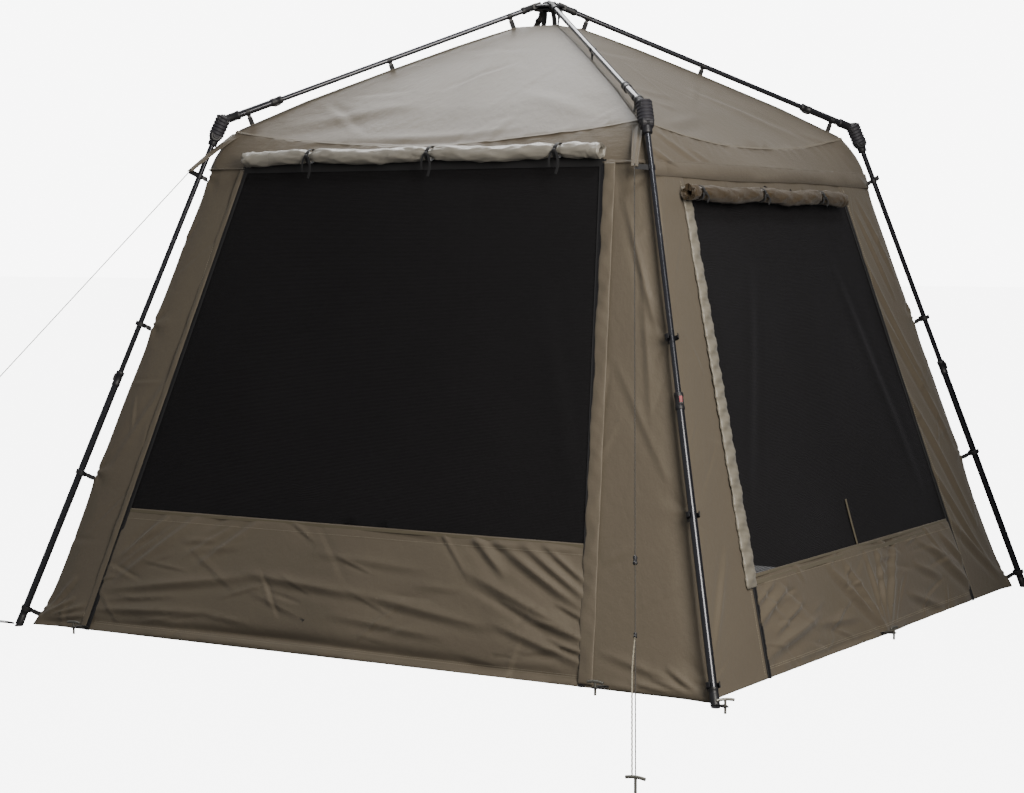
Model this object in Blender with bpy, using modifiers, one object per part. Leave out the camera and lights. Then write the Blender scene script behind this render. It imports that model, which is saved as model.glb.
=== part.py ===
"""Square pop-up fishing gazebo: an outside pole frame that carries a hung fabric tent.

Units are metres, +Z up. The origin lies on the ground, in the middle of the ground that the
pitched gazebo covers, guy lines included. The front wall, with the door, faces -Y.
"""

import bmesh
import bpy
from math import atan, cos, hypot, pi, radians, sin, sqrt
from mathutils import Matrix, Vector

# Footprint and frame. A corner point lies on a diagonal, at (t, t) from the footprint's middle.
FOOT_T = 1.363
LEG_LEAN = 0.2903
KNEE_Z = 1.725
ELBOW_T = 0.845
ELBOW_Z = 1.778
HUB_Z = 2.205
HUB_T = 0.04
INNER_R = 0.0095
OUTER_R = 0.0125
FIT_GAP = 0.0003

# Legs: a thin upper tube that runs into a thicker lower tube with a lock collar on top.
LOWER_LEG = 0.965
LOWER_BORE_R = 0.011
LEG_OVERLAP = 0.09
COLLAR_R = 0.0145
COLLAR_BORE_R = 0.0100
COLLAR_LENGTH = 0.055
FOOT_CAP_LENGTH = 0.06
FOOT_FLOOR = 0.05

# Roof poles: the lock sits near the knuckle.
ROOF_LOCK_T = 0.70
SLEEVE_WALL = 0.003
SLEEVE_LENGTH = 0.065
SLEEVE_DEPTH = 0.05
LEG_SLEEVE_LENGTH = 0.038
LEG_SLEEVE_DEPTH = 0.028
PIVOT_R = 0.023
PIVOT_WIDTH = 0.046
HUB_R = 0.0585
HUB_HEIGHT = 0.026
SOCKET_REACH = 0.105

# Fabric. The tent hangs about 5 cm under and inside the poles.
CLOTH = 0.004
MESH_CLOTH = 0.002
WALL_FOOT_T = 1.315
WALL_LEAN = 0.2728
HEM_Z = 0.004
EAVE_T = 0.81
EAVE_Z = 1.736
EAVE_SAG = 0.062
BAND_BULGE = 0.009
RIDGE = ((0.08, 2.130), (0.247, 2.050), (0.411, 1.965), (0.63, 1.847), (EAVE_T, EAVE_Z))
SEAM_Z = 1.61
TOP_Z = {"front": SEAM_Z, "right": 1.55, "back": 1.55, "left": 1.55}
SILL_Z = {"front": 0.42, "right": 0.31, "back": 0.31, "left": 0.31}

# Opening edges along each wall, seen from outside: (left top, right top, left foot, right foot).
OPENING = {
    "front": (-0.712, 0.717, -1.090, 0.890),
    "right": (-0.670, 0.595, -0.893, 0.918),
    "back": (-0.630, 0.630, -0.900, 0.900),
    "left": (-0.630, 0.630, -0.900, 0.900),
}

# Webbing: rings sewn on tabs hold the tent to the poles. The leg rings let the lock collar by.
WEB = 0.002
WEB_WIDTH = 0.025
TAB_WIDTH = 0.022
LEG_RING_Z = (1.582, 1.06, 0.538, 0.062)
WIDE_RING_R = 0.0197
GUY_TAB = 0.048
# Each guy tab is turned about its leg from straight out, in degrees.
GUY_TAB_TURN = {"front_left": 45, "front_right": -82, "back_left": -45, "back_right": 45}
ROOF_RING_T = (0.105, 0.42, 0.782)

ROLL_R = {"front": 0.040, "right": 0.035}
ROLL_REACH = {"front": (-0.695, 0.725), "right": (-0.735, 0.535)}
ROLL_Z = {"front": 1.655, "right": 1.50}

GUY_R = 0.002
PEG_R = 0.004
PEG_BAR_R = 0.005
PEG_HEIGHT = 0.045
PEG_HEAD = 0.055
GUY_PEGS = {"front_left": (-1.654, -2.290), "front_right": (1.654, -2.397)}
HEM_PEGS = {
    "door_left": ("front", -1.085, 0.070),
    "door_right": ("front", 0.975, 0.070),
    "right_wall": ("right", -0.02, 0.060),
}
FOOT_PEG_OUT = 0.085

CORNERS = {"front_right": 0, "back_right": 1, "back_left": 2, "front_left": 3}
SIDES = {"front": 0, "right": 1, "back": 2, "left": 3}
ROOT2 = sqrt(2.0)
ROUND = 16

# The gazebo reaches from the near guy peg to the back feet, and the origin lies midway.
BACK_REACH = FOOT_T + (FOOT_PEG_OUT + PEG_HEAD / 2 + PEG_BAR_R) / ROOT2
FRONT_REACH = PEG_BAR_R - GUY_PEGS["front_right"][1]
CENTRE_Y = (FRONT_REACH - BACK_REACH) / 2

for old in list(bpy.data.objects):
    bpy.data.objects.remove(old, do_unlink=True)

GAZEBO = bpy.data.collections.new("fishing_gazebo")
CUTTERS = bpy.data.collections.new("cutters")
bpy.context.scene.collection.children.link(GAZEBO)
bpy.context.scene.collection.children.link(CUTTERS)


def material(name, colour, roughness, metallic=0.0):
    """A Principled BSDF material in one colour."""
    made = bpy.data.materials.new(name)
    made.use_nodes = True
    shader = made.node_tree.nodes["Principled BSDF"]
    shader.inputs["Base Color"].default_value = (*colour, 1.0)
    shader.inputs["Roughness"].default_value = roughness
    shader.inputs["Metallic"].default_value = metallic
    return made


STEEL = material("dark steel tube", (0.030, 0.031, 0.034), 0.35, 0.8)
NYLON = material("black moulded nylon", (0.016, 0.016, 0.018), 0.45)
ROOF_CLOTH = material("pale olive roof cloth", (0.28, 0.26, 0.21), 0.75)
WALL_CLOTH = material("olive wall cloth", (0.13, 0.115, 0.085), 0.80)
NET = material("black insect mesh", (0.012, 0.012, 0.014), 0.90)
CORD = material("pale guy cord", (0.45, 0.42, 0.36), 0.80)
PEG_STEEL = material("galvanised peg", (0.35, 0.35, 0.36), 0.40, 0.9)


def keep(thing, parent, skin, collection=GAZEBO):
    """Put a finished object in its collection, under its parent, with its material."""
    collection.objects.link(thing)
    thing.parent = parent
    thing.data.materials.clear()
    thing.data.materials.append(skin)
    return thing


def empty(name, turn, parent=None, place=(0, 0, 0)):
    """An unseen carrier, turned about Z."""
    made = bpy.data.objects.new(name, None)
    bpy.context.scene.collection.objects.link(made)
    made.parent = parent
    made.location = place
    made.rotation_euler = (0, 0, turn)
    return made


ORIGIN = empty("footprint_middle", 0, place=(0, CENTRE_Y, 0))
CORNER = {n: empty(n + "_corner", radians(90 * k - 45), ORIGIN) for n, k in CORNERS.items()}
SIDE = {n: empty(n + "_side", radians(90 * k), ORIGIN) for n, k in SIDES.items()}


def from_bmesh(name, form, smooth=True):
    """An unlinked mesh object from a bmesh, with crisp edges over 40 degrees."""
    data = bpy.data.meshes.new(name)
    form.to_mesh(data)
    form.free()
    if smooth:
        data.shade_smooth()
        data.set_sharp_from_angle(angle=radians(40))
    return bpy.data.objects.new(name, data)


def aim(start, end):
    """The matrix that takes the Z axis to the line from start to end."""
    line = Vector(end) - Vector(start)
    return Matrix.Translation(start) @ line.to_track_quat("Z", "Y").to_matrix().to_4x4()


def turned(name, profile, place, closed=False, steps=ROUND):
    """A profile of (radius, height) points turned about the Z axis of a placed object."""
    form = bmesh.new()
    points = [form.verts.new((r, 0, h)) for r, h in profile]
    pairs = list(zip(points, points[1:]))
    if closed:
        pairs.append((points[-1], points[0]))
    for pair in pairs:
        form.edges.new(pair)
    made = from_bmesh(name, form, smooth=False)
    screw = made.modifiers.new("turn", "SCREW")
    screw.steps = steps
    screw.render_steps = steps
    screw.use_merge_vertices = True
    screw.merge_threshold = 0.00001
    screw.use_smooth_shade = True
    made.matrix_local = place
    return made


def rod(name, start, end, radius):
    """A plain round bar from start to end."""
    length = (Vector(end) - Vector(start)).length
    profile = ((0, length), (radius, length), (radius, 0), (0, 0))
    return turned(name, profile, aim(start, end))


def ring(name, middle, axis, inner):
    """A webbing ring around a pole."""
    outer = inner + WEB
    half = WEB_WIDTH / 2
    profile = ((inner, half), (outer, half), (outer, -half), (inner, -half))
    start = Vector(middle)
    return turned(name, profile, aim(start, start + Vector(axis)), closed=True)


def block(name, size, place):
    """A box of the given size, centred in the placed frame."""
    form = bmesh.new()
    bmesh.ops.create_cube(form, size=1.0)
    bmesh.ops.scale(form, vec=size, verts=form.verts)
    made = from_bmesh(name, form, smooth=False)
    made.matrix_local = place
    return made


def as_mesh(thing):
    """The evaluated shape of an object as one welded mesh in its parent's frame."""
    bpy.context.scene.collection.objects.link(thing)
    bpy.context.view_layer.update()
    seen = thing.evaluated_get(bpy.context.evaluated_depsgraph_get())
    data = bpy.data.meshes.new_from_object(seen)
    data.transform(thing.matrix_local)
    form = bmesh.new()
    form.from_mesh(data)
    bmesh.ops.remove_doubles(form, verts=form.verts, dist=0.000005)
    form.to_mesh(data)
    form.free()
    name = thing.name
    bpy.data.objects.remove(thing, do_unlink=True)
    made = bpy.data.objects.new(name, data)
    made.name = name
    return made


def combine(name, pieces, cuts=()):
    """One body: the pieces united, then the cuts taken away, with EXACT booleans."""
    body = as_mesh(pieces[0])
    body.name = name
    for number, piece in enumerate([*pieces[1:], *cuts]):
        tool = as_mesh(piece)
        tool.name = name + "_tool_" + str(number)
        tool.hide_render = True
        tool.display_type = "WIRE"
        CUTTERS.objects.link(tool)
        step = body.modifiers.new(tool.name, "BOOLEAN")
        step.object = tool
        step.operation = "UNION" if number < len(pieces) - 1 else "DIFFERENCE"
        step.solver = "EXACT"
    return body


def place_combined(body, parent, skin):
    """Keep a combined body, with its tools under the same parent."""
    for step in body.modifiers:
        step.object.parent = parent
    return keep(body, parent, skin)


def corner_point(t, z, side=0.0):
    """A point near a corner's diagonal plane, in the corner's own frame."""
    return Vector((ROOT2 * t, side, z))


def leg_point(length):
    """A point on the leg's axis, at this length from the ground."""
    rise = length / sqrt(1 + 2 * LEG_LEAN ** 2)
    return corner_point(FOOT_T - LEG_LEAN * rise, rise)


def leg_length(z):
    """How far along the leg a height lies."""
    return z * sqrt(1 + 2 * LEG_LEAN ** 2)


def roof_point(t, drop=0.0):
    """A point on the roof pole's axis above a corner point."""
    share = (t - HUB_T) / (ELBOW_T - HUB_T)
    return corner_point(t, HUB_Z + share * (ELBOW_Z - HUB_Z) - drop)


def wall_t(z):
    """How far a wall stands from the middle at a height."""
    return WALL_FOOT_T - WALL_LEAN * z


def ridge_z(t):
    """The height of the roof fabric's corner ridge."""
    for (t0, z0), (t1, z1) in zip(RIDGE, RIDGE[1:]):
        if t <= t1:
            break
    return z0 + (z1 - z0) * (t - t0) / (t1 - t0)


LEG_AXIS = (leg_point(1) - leg_point(0)).normalized()
LEG_OUT = Vector((LEG_AXIS.z, 0, -LEG_AXIS.x))
ROOF_AXIS = (roof_point(ELBOW_T) - roof_point(HUB_T)).normalized()
KNEE_LENGTH = leg_length(KNEE_Z)
WALL_TILT = atan(WALL_LEAN)


def frame_at(place, out):
    """A frame at a place in a corner's diagonal plane, its X axis along out and Y sideways."""
    side = Vector((0, 1, 0))
    columns = Matrix((out, side, out.cross(side))).transposed()
    return Matrix.Translation(place) @ columns.to_4x4()


# Hub: a low nylon drum with a domed cap and one socket for each roof pole.
def make_hub():
    half = HUB_HEIGHT / 2
    profile = ((0, half + 0.010), (0.020, half + 0.009), (0.042, half + 0.003), (HUB_R, half - 0.004),
               (HUB_R, 0.004 - half), (0.050, -half), (0, -half))
    drum = turned("hub_drum", profile, Matrix.Translation((0, 0, HUB_Z)))
    sockets = []
    bores = []
    for name, k in CORNERS.items():
        turn = Matrix.Rotation(radians(90 * k - 45), 4, "Z")
        start = turn @ (roof_point(HUB_T) - ROOF_AXIS * 0.03)
        mouth = turn @ (roof_point(HUB_T) + ROOF_AXIS * (SOCKET_REACH - ROOT2 * HUB_T))
        seat = turn @ (roof_point(HUB_T) + ROOF_AXIS * 0.012)
        sockets.append(rod("hub_socket_" + name, start, mouth, INNER_R + SLEEVE_WALL))
        past = mouth + (mouth - seat)
        bores.append(rod("hub_bore_" + name, seat, past, INNER_R + FIT_GAP))
    place_combined(combine("hub", [drum, *sockets], bores), ORIGIN, NYLON)


# Roof poles: a thin inner tube from the hub, a short thick tube with a lock at the knuckle.
def make_roof_poles(corner):
    parent = CORNER[corner]
    lock = roof_point(ROOF_LOCK_T)
    seat = roof_point(HUB_T) + ROOF_AXIS * 0.0135
    elbow = roof_point(ELBOW_T)
    end = elbow - ROOF_AXIS * (SLEEVE_LENGTH - SLEEVE_DEPTH + 0.0005)
    inner_end = lock + ROOF_AXIS * 0.06
    keep(rod("roof_pole_inner_" + corner, seat, inner_end, INNER_R), parent, STEEL)
    length = (end - lock).length
    bore = INNER_R + FIT_GAP
    profile = ((0, length), (OUTER_R, length), (OUTER_R, 0.037), (COLLAR_R, 0.035), (COLLAR_R, 0),
               (bore, 0), (bore, 0.065), (0, 0.065))
    outer = turned("roof_pole_outer_" + corner, profile, aim(lock, end))
    keep(outer, parent, STEEL)


# Knuckle: two pivot discs joined by a link, with a socket for the roof pole and one for the leg.
def make_knuckle(corner):
    parent = CORNER[corner]
    elbow = roof_point(ELBOW_T)
    knee = leg_point(KNEE_LENGTH)
    across = Vector((0, PIVOT_WIDTH / 2, 0))
    upper = rod("knuckle_elbow_" + corner, elbow - across, elbow + across, PIVOT_R)
    lower = rod("knuckle_knee_" + corner, knee - across, knee + across, PIVOT_R)
    link_place = aim((elbow + knee) / 2, knee)
    link_size = (1.4 * PIVOT_R, 0.7 * PIVOT_WIDTH, (knee - elbow).length)
    link = block("knuckle_link_" + corner, link_size, link_place)
    roof_mouth = elbow - ROOF_AXIS * SLEEVE_LENGTH
    leg_mouth = knee - LEG_AXIS * LEG_SLEEVE_LENGTH
    roof_sleeve = rod("knuckle_roof_" + corner, elbow, roof_mouth, OUTER_R + SLEEVE_WALL)
    leg_sleeve = rod("knuckle_leg_" + corner, knee, leg_mouth, INNER_R + SLEEVE_WALL + 0.002)
    roof_seat = elbow - ROOF_AXIS * (SLEEVE_LENGTH - SLEEVE_DEPTH)
    leg_seat = leg_mouth + LEG_AXIS * LEG_SLEEVE_DEPTH
    roof_past = roof_mouth - ROOF_AXIS * 0.02
    roof_bore = rod("knuckle_roof_bore_" + corner, roof_seat, roof_past, OUTER_R + FIT_GAP)
    leg_bore = rod("knuckle_leg_bore_" + corner, leg_seat, leg_mouth - LEG_AXIS * 0.02, INNER_R + FIT_GAP)
    body = combine("knuckle_" + corner, [upper, lower, link, roof_sleeve, leg_sleeve], [roof_bore, leg_bore])
    place_combined(body, parent, NYLON)


# Legs: the lower tube, its lock collar and foot cap slide up over the upper tube.
def make_leg(corner):
    parent = CORNER[corner]
    top = leg_point(KNEE_LENGTH) - LEG_AXIS * (LEG_SLEEVE_LENGTH - LEG_SLEEVE_DEPTH + 0.0005)
    bottom = leg_point(LOWER_LEG - LEG_OVERLAP)
    keep(rod("leg_upper_" + corner, bottom, top, INNER_R), parent, STEEL)

    under = -0.03
    throat = LOWER_LEG - 0.03
    profile = ((0, FOOT_FLOOR), (LOWER_BORE_R, FOOT_FLOOR), (LOWER_BORE_R, throat),
               (COLLAR_BORE_R, throat + 0.002), (COLLAR_BORE_R, LOWER_LEG), (COLLAR_R, LOWER_LEG),
               (COLLAR_R, LOWER_LEG - COLLAR_LENGTH), (OUTER_R, LOWER_LEG - COLLAR_LENGTH - 0.004),
               (OUTER_R, FOOT_CAP_LENGTH + 0.004), (COLLAR_R, FOOT_CAP_LENGTH), (COLLAR_R, under),
               (0, under))
    tube = turned("leg_lower_" + corner, profile, aim(leg_point(0), leg_point(1)))
    earth = block("earth_" + corner, (0.3, 0.3, 0.2), Matrix.Translation(corner_point(FOOT_T, -0.1)))
    place_combined(combine("leg_lower_" + corner, [tube], [earth]), parent, STEEL)


def sheet(name, across, down, surface):
    """A curved sheet: a grid whose points follow surface(v, w), thickened outwards."""
    form = bmesh.new()
    bmesh.ops.create_grid(form, x_segments=across, y_segments=down, size=1.0)
    for vertex in form.verts:
        vertex.co = surface(vertex.co.x, (1 - vertex.co.y) / 2)
    made = from_bmesh(name, form)
    thicken = made.modifiers.new("cloth", "SOLIDIFY")
    thicken.thickness = CLOTH
    thicken.offset = 1.0
    return made


# Roof gores: each hangs from two corner ridges and sags between them towards the eave.
def gore_surface(v, w):
    peak_t = RIDGE[0][0] + 2 * FIT_GAP
    t = peak_t + (EAVE_T - 2 * FIT_GAP - peak_t) * w
    sag = EAVE_SAG * w ** 1.5 * (1 - v * v)
    return Vector((v * (t - 2 * FIT_GAP), -t, ridge_z(t) - sag))


def make_gore(side):
    name = "roof_" + side
    pieces = [sheet(name, 10, 8, gore_surface)]
    turn = Matrix.Rotation(radians(-45), 4, "Z")
    for t in ROOF_RING_T:
        middle = roof_point(t)
        radius = (INNER_R if t < ROOF_LOCK_T else OUTER_R) + FIT_GAP
        band = ring(name + "_ring", turn @ middle, turn.to_3x3() @ ROOF_AXIS, radius)
        low = (ridge_z(t) + 0.0015 - middle.z) * ROOF_AXIS.x
        high = -radius - WEB / 2
        hang = frame_at(middle, ROOF_AXIS) @ Matrix.Translation((0, -0.0014, (low + high) / 2))
        tab = block(name + "_tab", (TAB_WIDTH, WEB, high - low), turn @ hang)
        pieces += [band, tab]
    place_combined(combine(name, pieces), SIDE[side], ROOF_CLOTH)


# Roof peak: the small square of cloth under the hub, hung from it on two straps.
def make_peak():
    reach = RIDGE[0][0] - FIT_GAP
    z = RIDGE[0][1]
    patch = block("peak_patch", (2 * reach, 2 * reach, CLOTH), Matrix.Translation((0, 0, z + CLOTH / 2)))
    top = HUB_Z - HUB_HEIGHT / 2 - FIT_GAP
    pieces = [patch]
    for x in (-0.025, 0.025):
        middle = Matrix.Translation((x, 0, (z + top) / 2))
        pieces.append(block("peak_strap", (WEB, WEB_WIDTH, top - z), middle))
    place_combined(combine("roof_peak", pieces), ORIGIN, ROOF_CLOTH)


# Eave bands: the steep strip between the roof's edge and the walls.
def band_surface(v, w):
    foot = SEAM_Z + 2 * FIT_GAP
    top_t = EAVE_T + FIT_GAP
    top_z = EAVE_Z - FIT_GAP - EAVE_SAG * (1 - v * v)
    foot_t = wall_t(foot)
    t = top_t + (foot_t - top_t) * w + BAND_BULGE * 4 * w * (1 - w) * v * v
    return Vector((v * (t - 2 * FIT_GAP), -t, top_z + (foot - top_z) * w))


def panel(name, outline, near, far):
    """A flat piece of a wall, from its (across, height) outline, between two offsets outwards."""
    slope = hypot(1, WALL_LEAN)
    data = bpy.data.curves.new(name, "CURVE")
    data.dimensions = "2D"
    data.fill_mode = "BOTH"
    data.extrude = (far - near) / 2
    spline = data.splines.new("POLY")
    spline.points.add(len(outline) - 1)
    for point, (s, z) in zip(spline.points, outline):
        point.co = (s, z * slope, 0, 1)
    spline.use_cyclic_u = True
    made = bpy.data.objects.new(name, data)
    tilt = Matrix.Rotation(pi / 2 - WALL_TILT, 4, "X")
    stand = Matrix.Translation((0, -WALL_FOOT_T, 0)) @ tilt
    made.matrix_local = stand @ Matrix.Translation((0, 0, (near + far) / 2))
    return made


def edge(side, right, z):
    """Where a wall's opening starts on its left or right, at a height."""
    left_top, right_top, left_foot, right_foot = OPENING[side]
    top, foot = (right_top, right_foot) if right else (left_top, left_foot)
    return foot + (top - foot) * z / TOP_Z[side]


def between(side, low, high, inset):
    """The outline of what lies between a wall's two columns, from one height to another."""
    return [(edge(side, False, low) + inset, low), (edge(side, True, low) - inset, low),
            (edge(side, True, high) - inset, high), (edge(side, False, high) + inset, high)]


def make_band(side):
    name = "eave_band_" + side
    pieces = [sheet(name, 16, 6, band_surface)]
    if TOP_Z[side] < SEAM_Z:
        header = between(side, TOP_Z[side] + 2 * FIT_GAP, SEAM_Z + 0.003, 2 * FIT_GAP)
        pieces.append(panel(name + "_header", header, 0, CLOTH))
    place_combined(combine(name, pieces), SIDE[side], WALL_CLOTH)


def corner_section(before, after, z):
    """The L-shaped outline of a corner's cloth at a height, in the frame of the side before it."""
    t = wall_t(z)
    out = t + CLOTH / cos(WALL_TILT)
    start = edge(before, True, z)
    end = edge(after, False, z)
    return [(start, -out, z), (out, -out, z), (out, end, z), (t, end, z), (t, -t, z), (start, -t, z)]


# Corners: a column of wall cloth on each side of the corner, with the rings that hold the leg.
def make_corner(corner):
    k = CORNERS[corner]
    before = list(SIDES)[k]
    after = list(SIDES)[(k + 1) % 4]
    form = bmesh.new()
    low, high = ([form.verts.new(p) for p in corner_section(before, after, z)] for z in (HEM_Z, SEAM_Z))
    form.faces.new(low[::-1])
    form.faces.new(high)
    for i in range(len(low)):
        j = (i + 1) % len(low)
        form.faces.new((low[i], low[j], high[j], high[i]))
    pieces = [from_bmesh(corner + "_columns", form, smooth=False)]
    turn = Matrix.Rotation(radians(-45), 4, "Z")
    for z in LEG_RING_Z:
        middle = leg_point(leg_length(z))
        tight = z == LEG_RING_Z[0]
        radius = INNER_R + FIT_GAP if tight else WIDE_RING_R
        pieces.append(ring(corner + "_ring", turn @ middle, turn.to_3x3() @ LEG_AXIS, radius))
        near = (ROOT2 * wall_t(z) + 0.002 - middle.x) * LEG_AXIS.z
        far = -radius - WEB / 2
        hold = turn @ frame_at(middle, LEG_OUT)
        tab = hold @ Matrix.Translation(((near + far) / 2, 0, 0))
        pieces.append(block(corner + "_tab", (far - near, WEB, TAB_WIDTH), tab))
        if tight:
            aside = Matrix.Rotation(radians(GUY_TAB_TURN[corner]), 4, "Z")
            eye = hold @ aside @ Matrix.Translation((radius + WEB / 2 + GUY_TAB / 2, 0, 0))
            pieces.append(block(corner + "_guy_tab", (GUY_TAB, WEB, TAB_WIDTH), eye))
    place_combined(combine("wall_corner_" + corner, pieces), SIDE[before], WALL_CLOTH)


# Lower panels, insect mesh and covers fill each wall between its corner columns.
def strip(name, side, low, high, near, far, inset, skin):
    keep(panel(name, between(side, low, high, inset), near, far), SIDE[side], skin)


def make_wall(side):
    gap = 2 * FIT_GAP
    sill = SILL_Z[side]
    strip("lower_panel_" + side, side, HEM_Z, sill, 0, CLOTH, gap, WALL_CLOTH)
    strip("mesh_" + side, side, sill + gap, TOP_Z[side], 0, MESH_CLOTH, gap, NET)
    if side in ("back", "left"):
        high = TOP_Z[side] + 0.02
        near = CLOTH + FIT_GAP
        strip("window_cover_" + side, side, sill - 0.02, high, near, near + 0.003, -0.02, WALL_CLOTH)


# Rolled covers: the door's and the right window's outer cloth, rolled up and tied above.
def make_roll(side):
    low, high = ROLL_REACH[side]
    radius = ROLL_R[side]
    z = ROLL_Z[side]
    if side == "front":
        spots = [band_surface(v / 50, w / 40) for v in range(-50, 51) for w in range(41)]
        spots = [p for p in spots if low <= p.x <= high]
    else:
        spots = [Vector((0, -wall_t(h / 1000), h / 1000)) for h in range(1440, 1560)]
    clear = radius + CLOTH + FIT_GAP
    reach = max(-p.y + sqrt(max(clear ** 2 - (p.z - z) ** 2, 0)) for p in spots if abs(p.z - z) < clear)
    profile = ((0, high - low), (radius * 0.9, high - low), (radius, high - low - 0.02),
               (radius, 0.02), (radius * 0.9, 0), (0, 0))
    place = aim((low, -reach, z), (high, -reach, z))
    roll = turned("rolled_cover_" + side, profile, place, steps=2 * ROUND)
    keep(roll, SIDE[side], WALL_CLOTH)


def peg_pieces(name, x, y, head_turn):
    """A ground peg: a short rod with a cross bar, as far as it shows above the ground."""
    stem = rod(name + "_stem", (x, y, 0), (x, y, PEG_HEIGHT), PEG_R)
    out = Vector((cos(head_turn), sin(head_turn), 0)) * PEG_HEAD / 2
    middle = Vector((x, y, PEG_HEIGHT - PEG_R))
    bar = rod(name + "_bar", middle - out, middle + out, PEG_BAR_R)
    return [stem, bar]


# Guys: a taut cord from each front corner's top tab to a peg in front.
def make_guy(corner):
    x, y = GUY_PEGS[corner]
    place_combined(combine("guy_peg_" + corner, peg_pieces("guy_peg_" + corner, x, y, 0)), ORIGIN, PEG_STEEL)
    z = LEG_RING_Z[0]
    reach = INNER_R + FIT_GAP + WEB / 2 + GUY_TAB + GUY_R + FIT_GAP
    turn = Matrix.Rotation(radians(90 * CORNERS[corner] - 45), 4, "Z")
    aside = Matrix.Rotation(radians(GUY_TAB_TURN[corner]), 4, "Z")
    tab = turn @ frame_at(leg_point(leg_length(z)), LEG_OUT) @ aside @ Vector((reach, 0, 0))
    peg = Vector((x, y, PEG_HEIGHT - PEG_R))
    line = (peg - tab).normalized()
    end = peg - line * (PEG_BAR_R + 0.0012)
    keep(rod("guy_" + corner, tab, end, GUY_R), ORIGIN, CORD)


# Hem pegs: each stands just outside a wall and holds the hem by a short strap.
def make_hem_peg(name, side, s, out):
    z = 0.014
    wall = wall_t(z) + CLOTH / cos(WALL_TILT) + 0.0008
    y = -(wall + out)
    pieces = peg_pieces("hem_peg_" + name, s, y, 0)
    strap = Matrix.Translation((s, -(wall + out / 2), z))
    pieces.append(block("hem_peg_" + name + "_strap", (WEB_WIDTH, out, WEB), strap))
    place_combined(combine("hem_peg_" + name, pieces), SIDE[side], PEG_STEEL)


# Foot pegs: each stands outside a foot, with a strap to it.
def make_foot_peg(corner):
    z = 0.010
    foot = ROOT2 * (FOOT_T - LEG_LEAN * (z - WEB / 2)) + COLLAR_R / LEG_AXIS.z + FIT_GAP
    x = ROOT2 * FOOT_T + FOOT_PEG_OUT
    pieces = peg_pieces("foot_peg_" + corner, x, 0, pi / 2)
    strap = Matrix.Translation(((foot + x) / 2, 0, z))
    pieces.append(block("foot_peg_" + corner + "_strap", (x - foot, WEB_WIDTH, WEB), strap))
    place_combined(combine("foot_peg_" + corner, pieces), CORNER[corner], PEG_STEEL)


make_hub()
make_peak()
for corner_name in CORNERS:
    make_roof_poles(corner_name)
    make_knuckle(corner_name)
    make_leg(corner_name)
    make_corner(corner_name)
    make_foot_peg(corner_name)
for side_name in SIDES:
    make_gore(side_name)
    make_band(side_name)
    make_wall(side_name)
for side_name in ROLL_R:
    make_roll(side_name)
for corner_name in GUY_PEGS:
    make_guy(corner_name)
for peg_name, (side_name, across, out) in HEM_PEGS.items():
    make_hem_peg(peg_name, side_name, across, out)
bpy.context.view_layer.update()
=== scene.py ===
"""The looks of a square pop-up fishing gazebo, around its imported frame.

Units are metres, +Z up. Pieces are worked out around the middle of the tent's footprint, where the
front wall faces -Y, and are then carried to the frame's own place.
"""

from math import atan, cos, hypot, pi, radians, sin, sqrt

import bmesh
import bpy
import numpy as np
from mathutils import Matrix, Vector
from mathutils.bvhtree import BVHTree


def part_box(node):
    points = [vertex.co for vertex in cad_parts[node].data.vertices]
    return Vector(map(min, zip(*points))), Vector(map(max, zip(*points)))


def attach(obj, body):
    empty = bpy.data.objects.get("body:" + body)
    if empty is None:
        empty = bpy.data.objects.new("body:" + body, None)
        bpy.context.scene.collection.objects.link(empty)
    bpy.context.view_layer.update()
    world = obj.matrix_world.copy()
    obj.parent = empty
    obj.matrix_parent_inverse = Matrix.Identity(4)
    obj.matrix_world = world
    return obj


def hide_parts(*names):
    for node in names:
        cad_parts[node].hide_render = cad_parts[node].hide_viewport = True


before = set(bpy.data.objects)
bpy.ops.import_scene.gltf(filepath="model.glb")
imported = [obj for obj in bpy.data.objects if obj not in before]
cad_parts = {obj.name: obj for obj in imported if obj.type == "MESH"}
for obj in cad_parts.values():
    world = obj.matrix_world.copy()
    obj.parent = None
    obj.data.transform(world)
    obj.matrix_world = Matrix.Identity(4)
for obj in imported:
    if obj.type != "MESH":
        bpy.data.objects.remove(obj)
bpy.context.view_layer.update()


# ---- Camera and studio.
# The photograph was taken from a standing person's chest height, off the near corner, with a
# longer lens. A white sweep of paper stands for its cut-out background.
hub_low, hub_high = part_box("hub")
MIDDLE = (hub_low + hub_high) / 2
MIDDLE.z = 0
CAMERA_PLACE = Vector((4.2551, -7.2550, 1.3481))
CAMERA_PITCH = radians(-3.87)
CAMERA_YAW = radians(31.31)
CAMERA_LENS = 80.11

lens = bpy.data.cameras.new("photo_camera")
lens.lens = CAMERA_LENS
lens.sensor_width = 36
lens.sensor_fit = "HORIZONTAL"
lens.clip_end = 300
camera = bpy.data.objects.new("photo_camera", lens)
camera.location = MIDDLE + CAMERA_PLACE
camera.rotation_euler = (pi / 2 + CAMERA_PITCH, 0, CAMERA_YAW)
bpy.context.scene.collection.objects.link(camera)
bpy.context.scene.camera = camera


def linear(code):
    """An sRGB hex colour such as "#736A59" as linear red, green, blue and alpha."""
    shares = (int(code[i:i + 2], 16) / 255 for i in (1, 3, 5))
    return (*(c / 12.92 if c < 0.04045 else ((c + 0.055) / 1.055) ** 2.4 for c in shares), 1.0)


def add(tree, kind, inputs=(), **settings):
    """A new node with its settings. Its inputs are values or other nodes' outputs."""
    made = tree.nodes.new(kind)
    for key, value in settings.items():
        setattr(made, key, value)
    for key, value in dict(inputs).items():
        if isinstance(value, bpy.types.NodeSocket):
            tree.links.new(value, made.inputs[key])
        else:
            made.inputs[key].default_value = value
    return made


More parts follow.
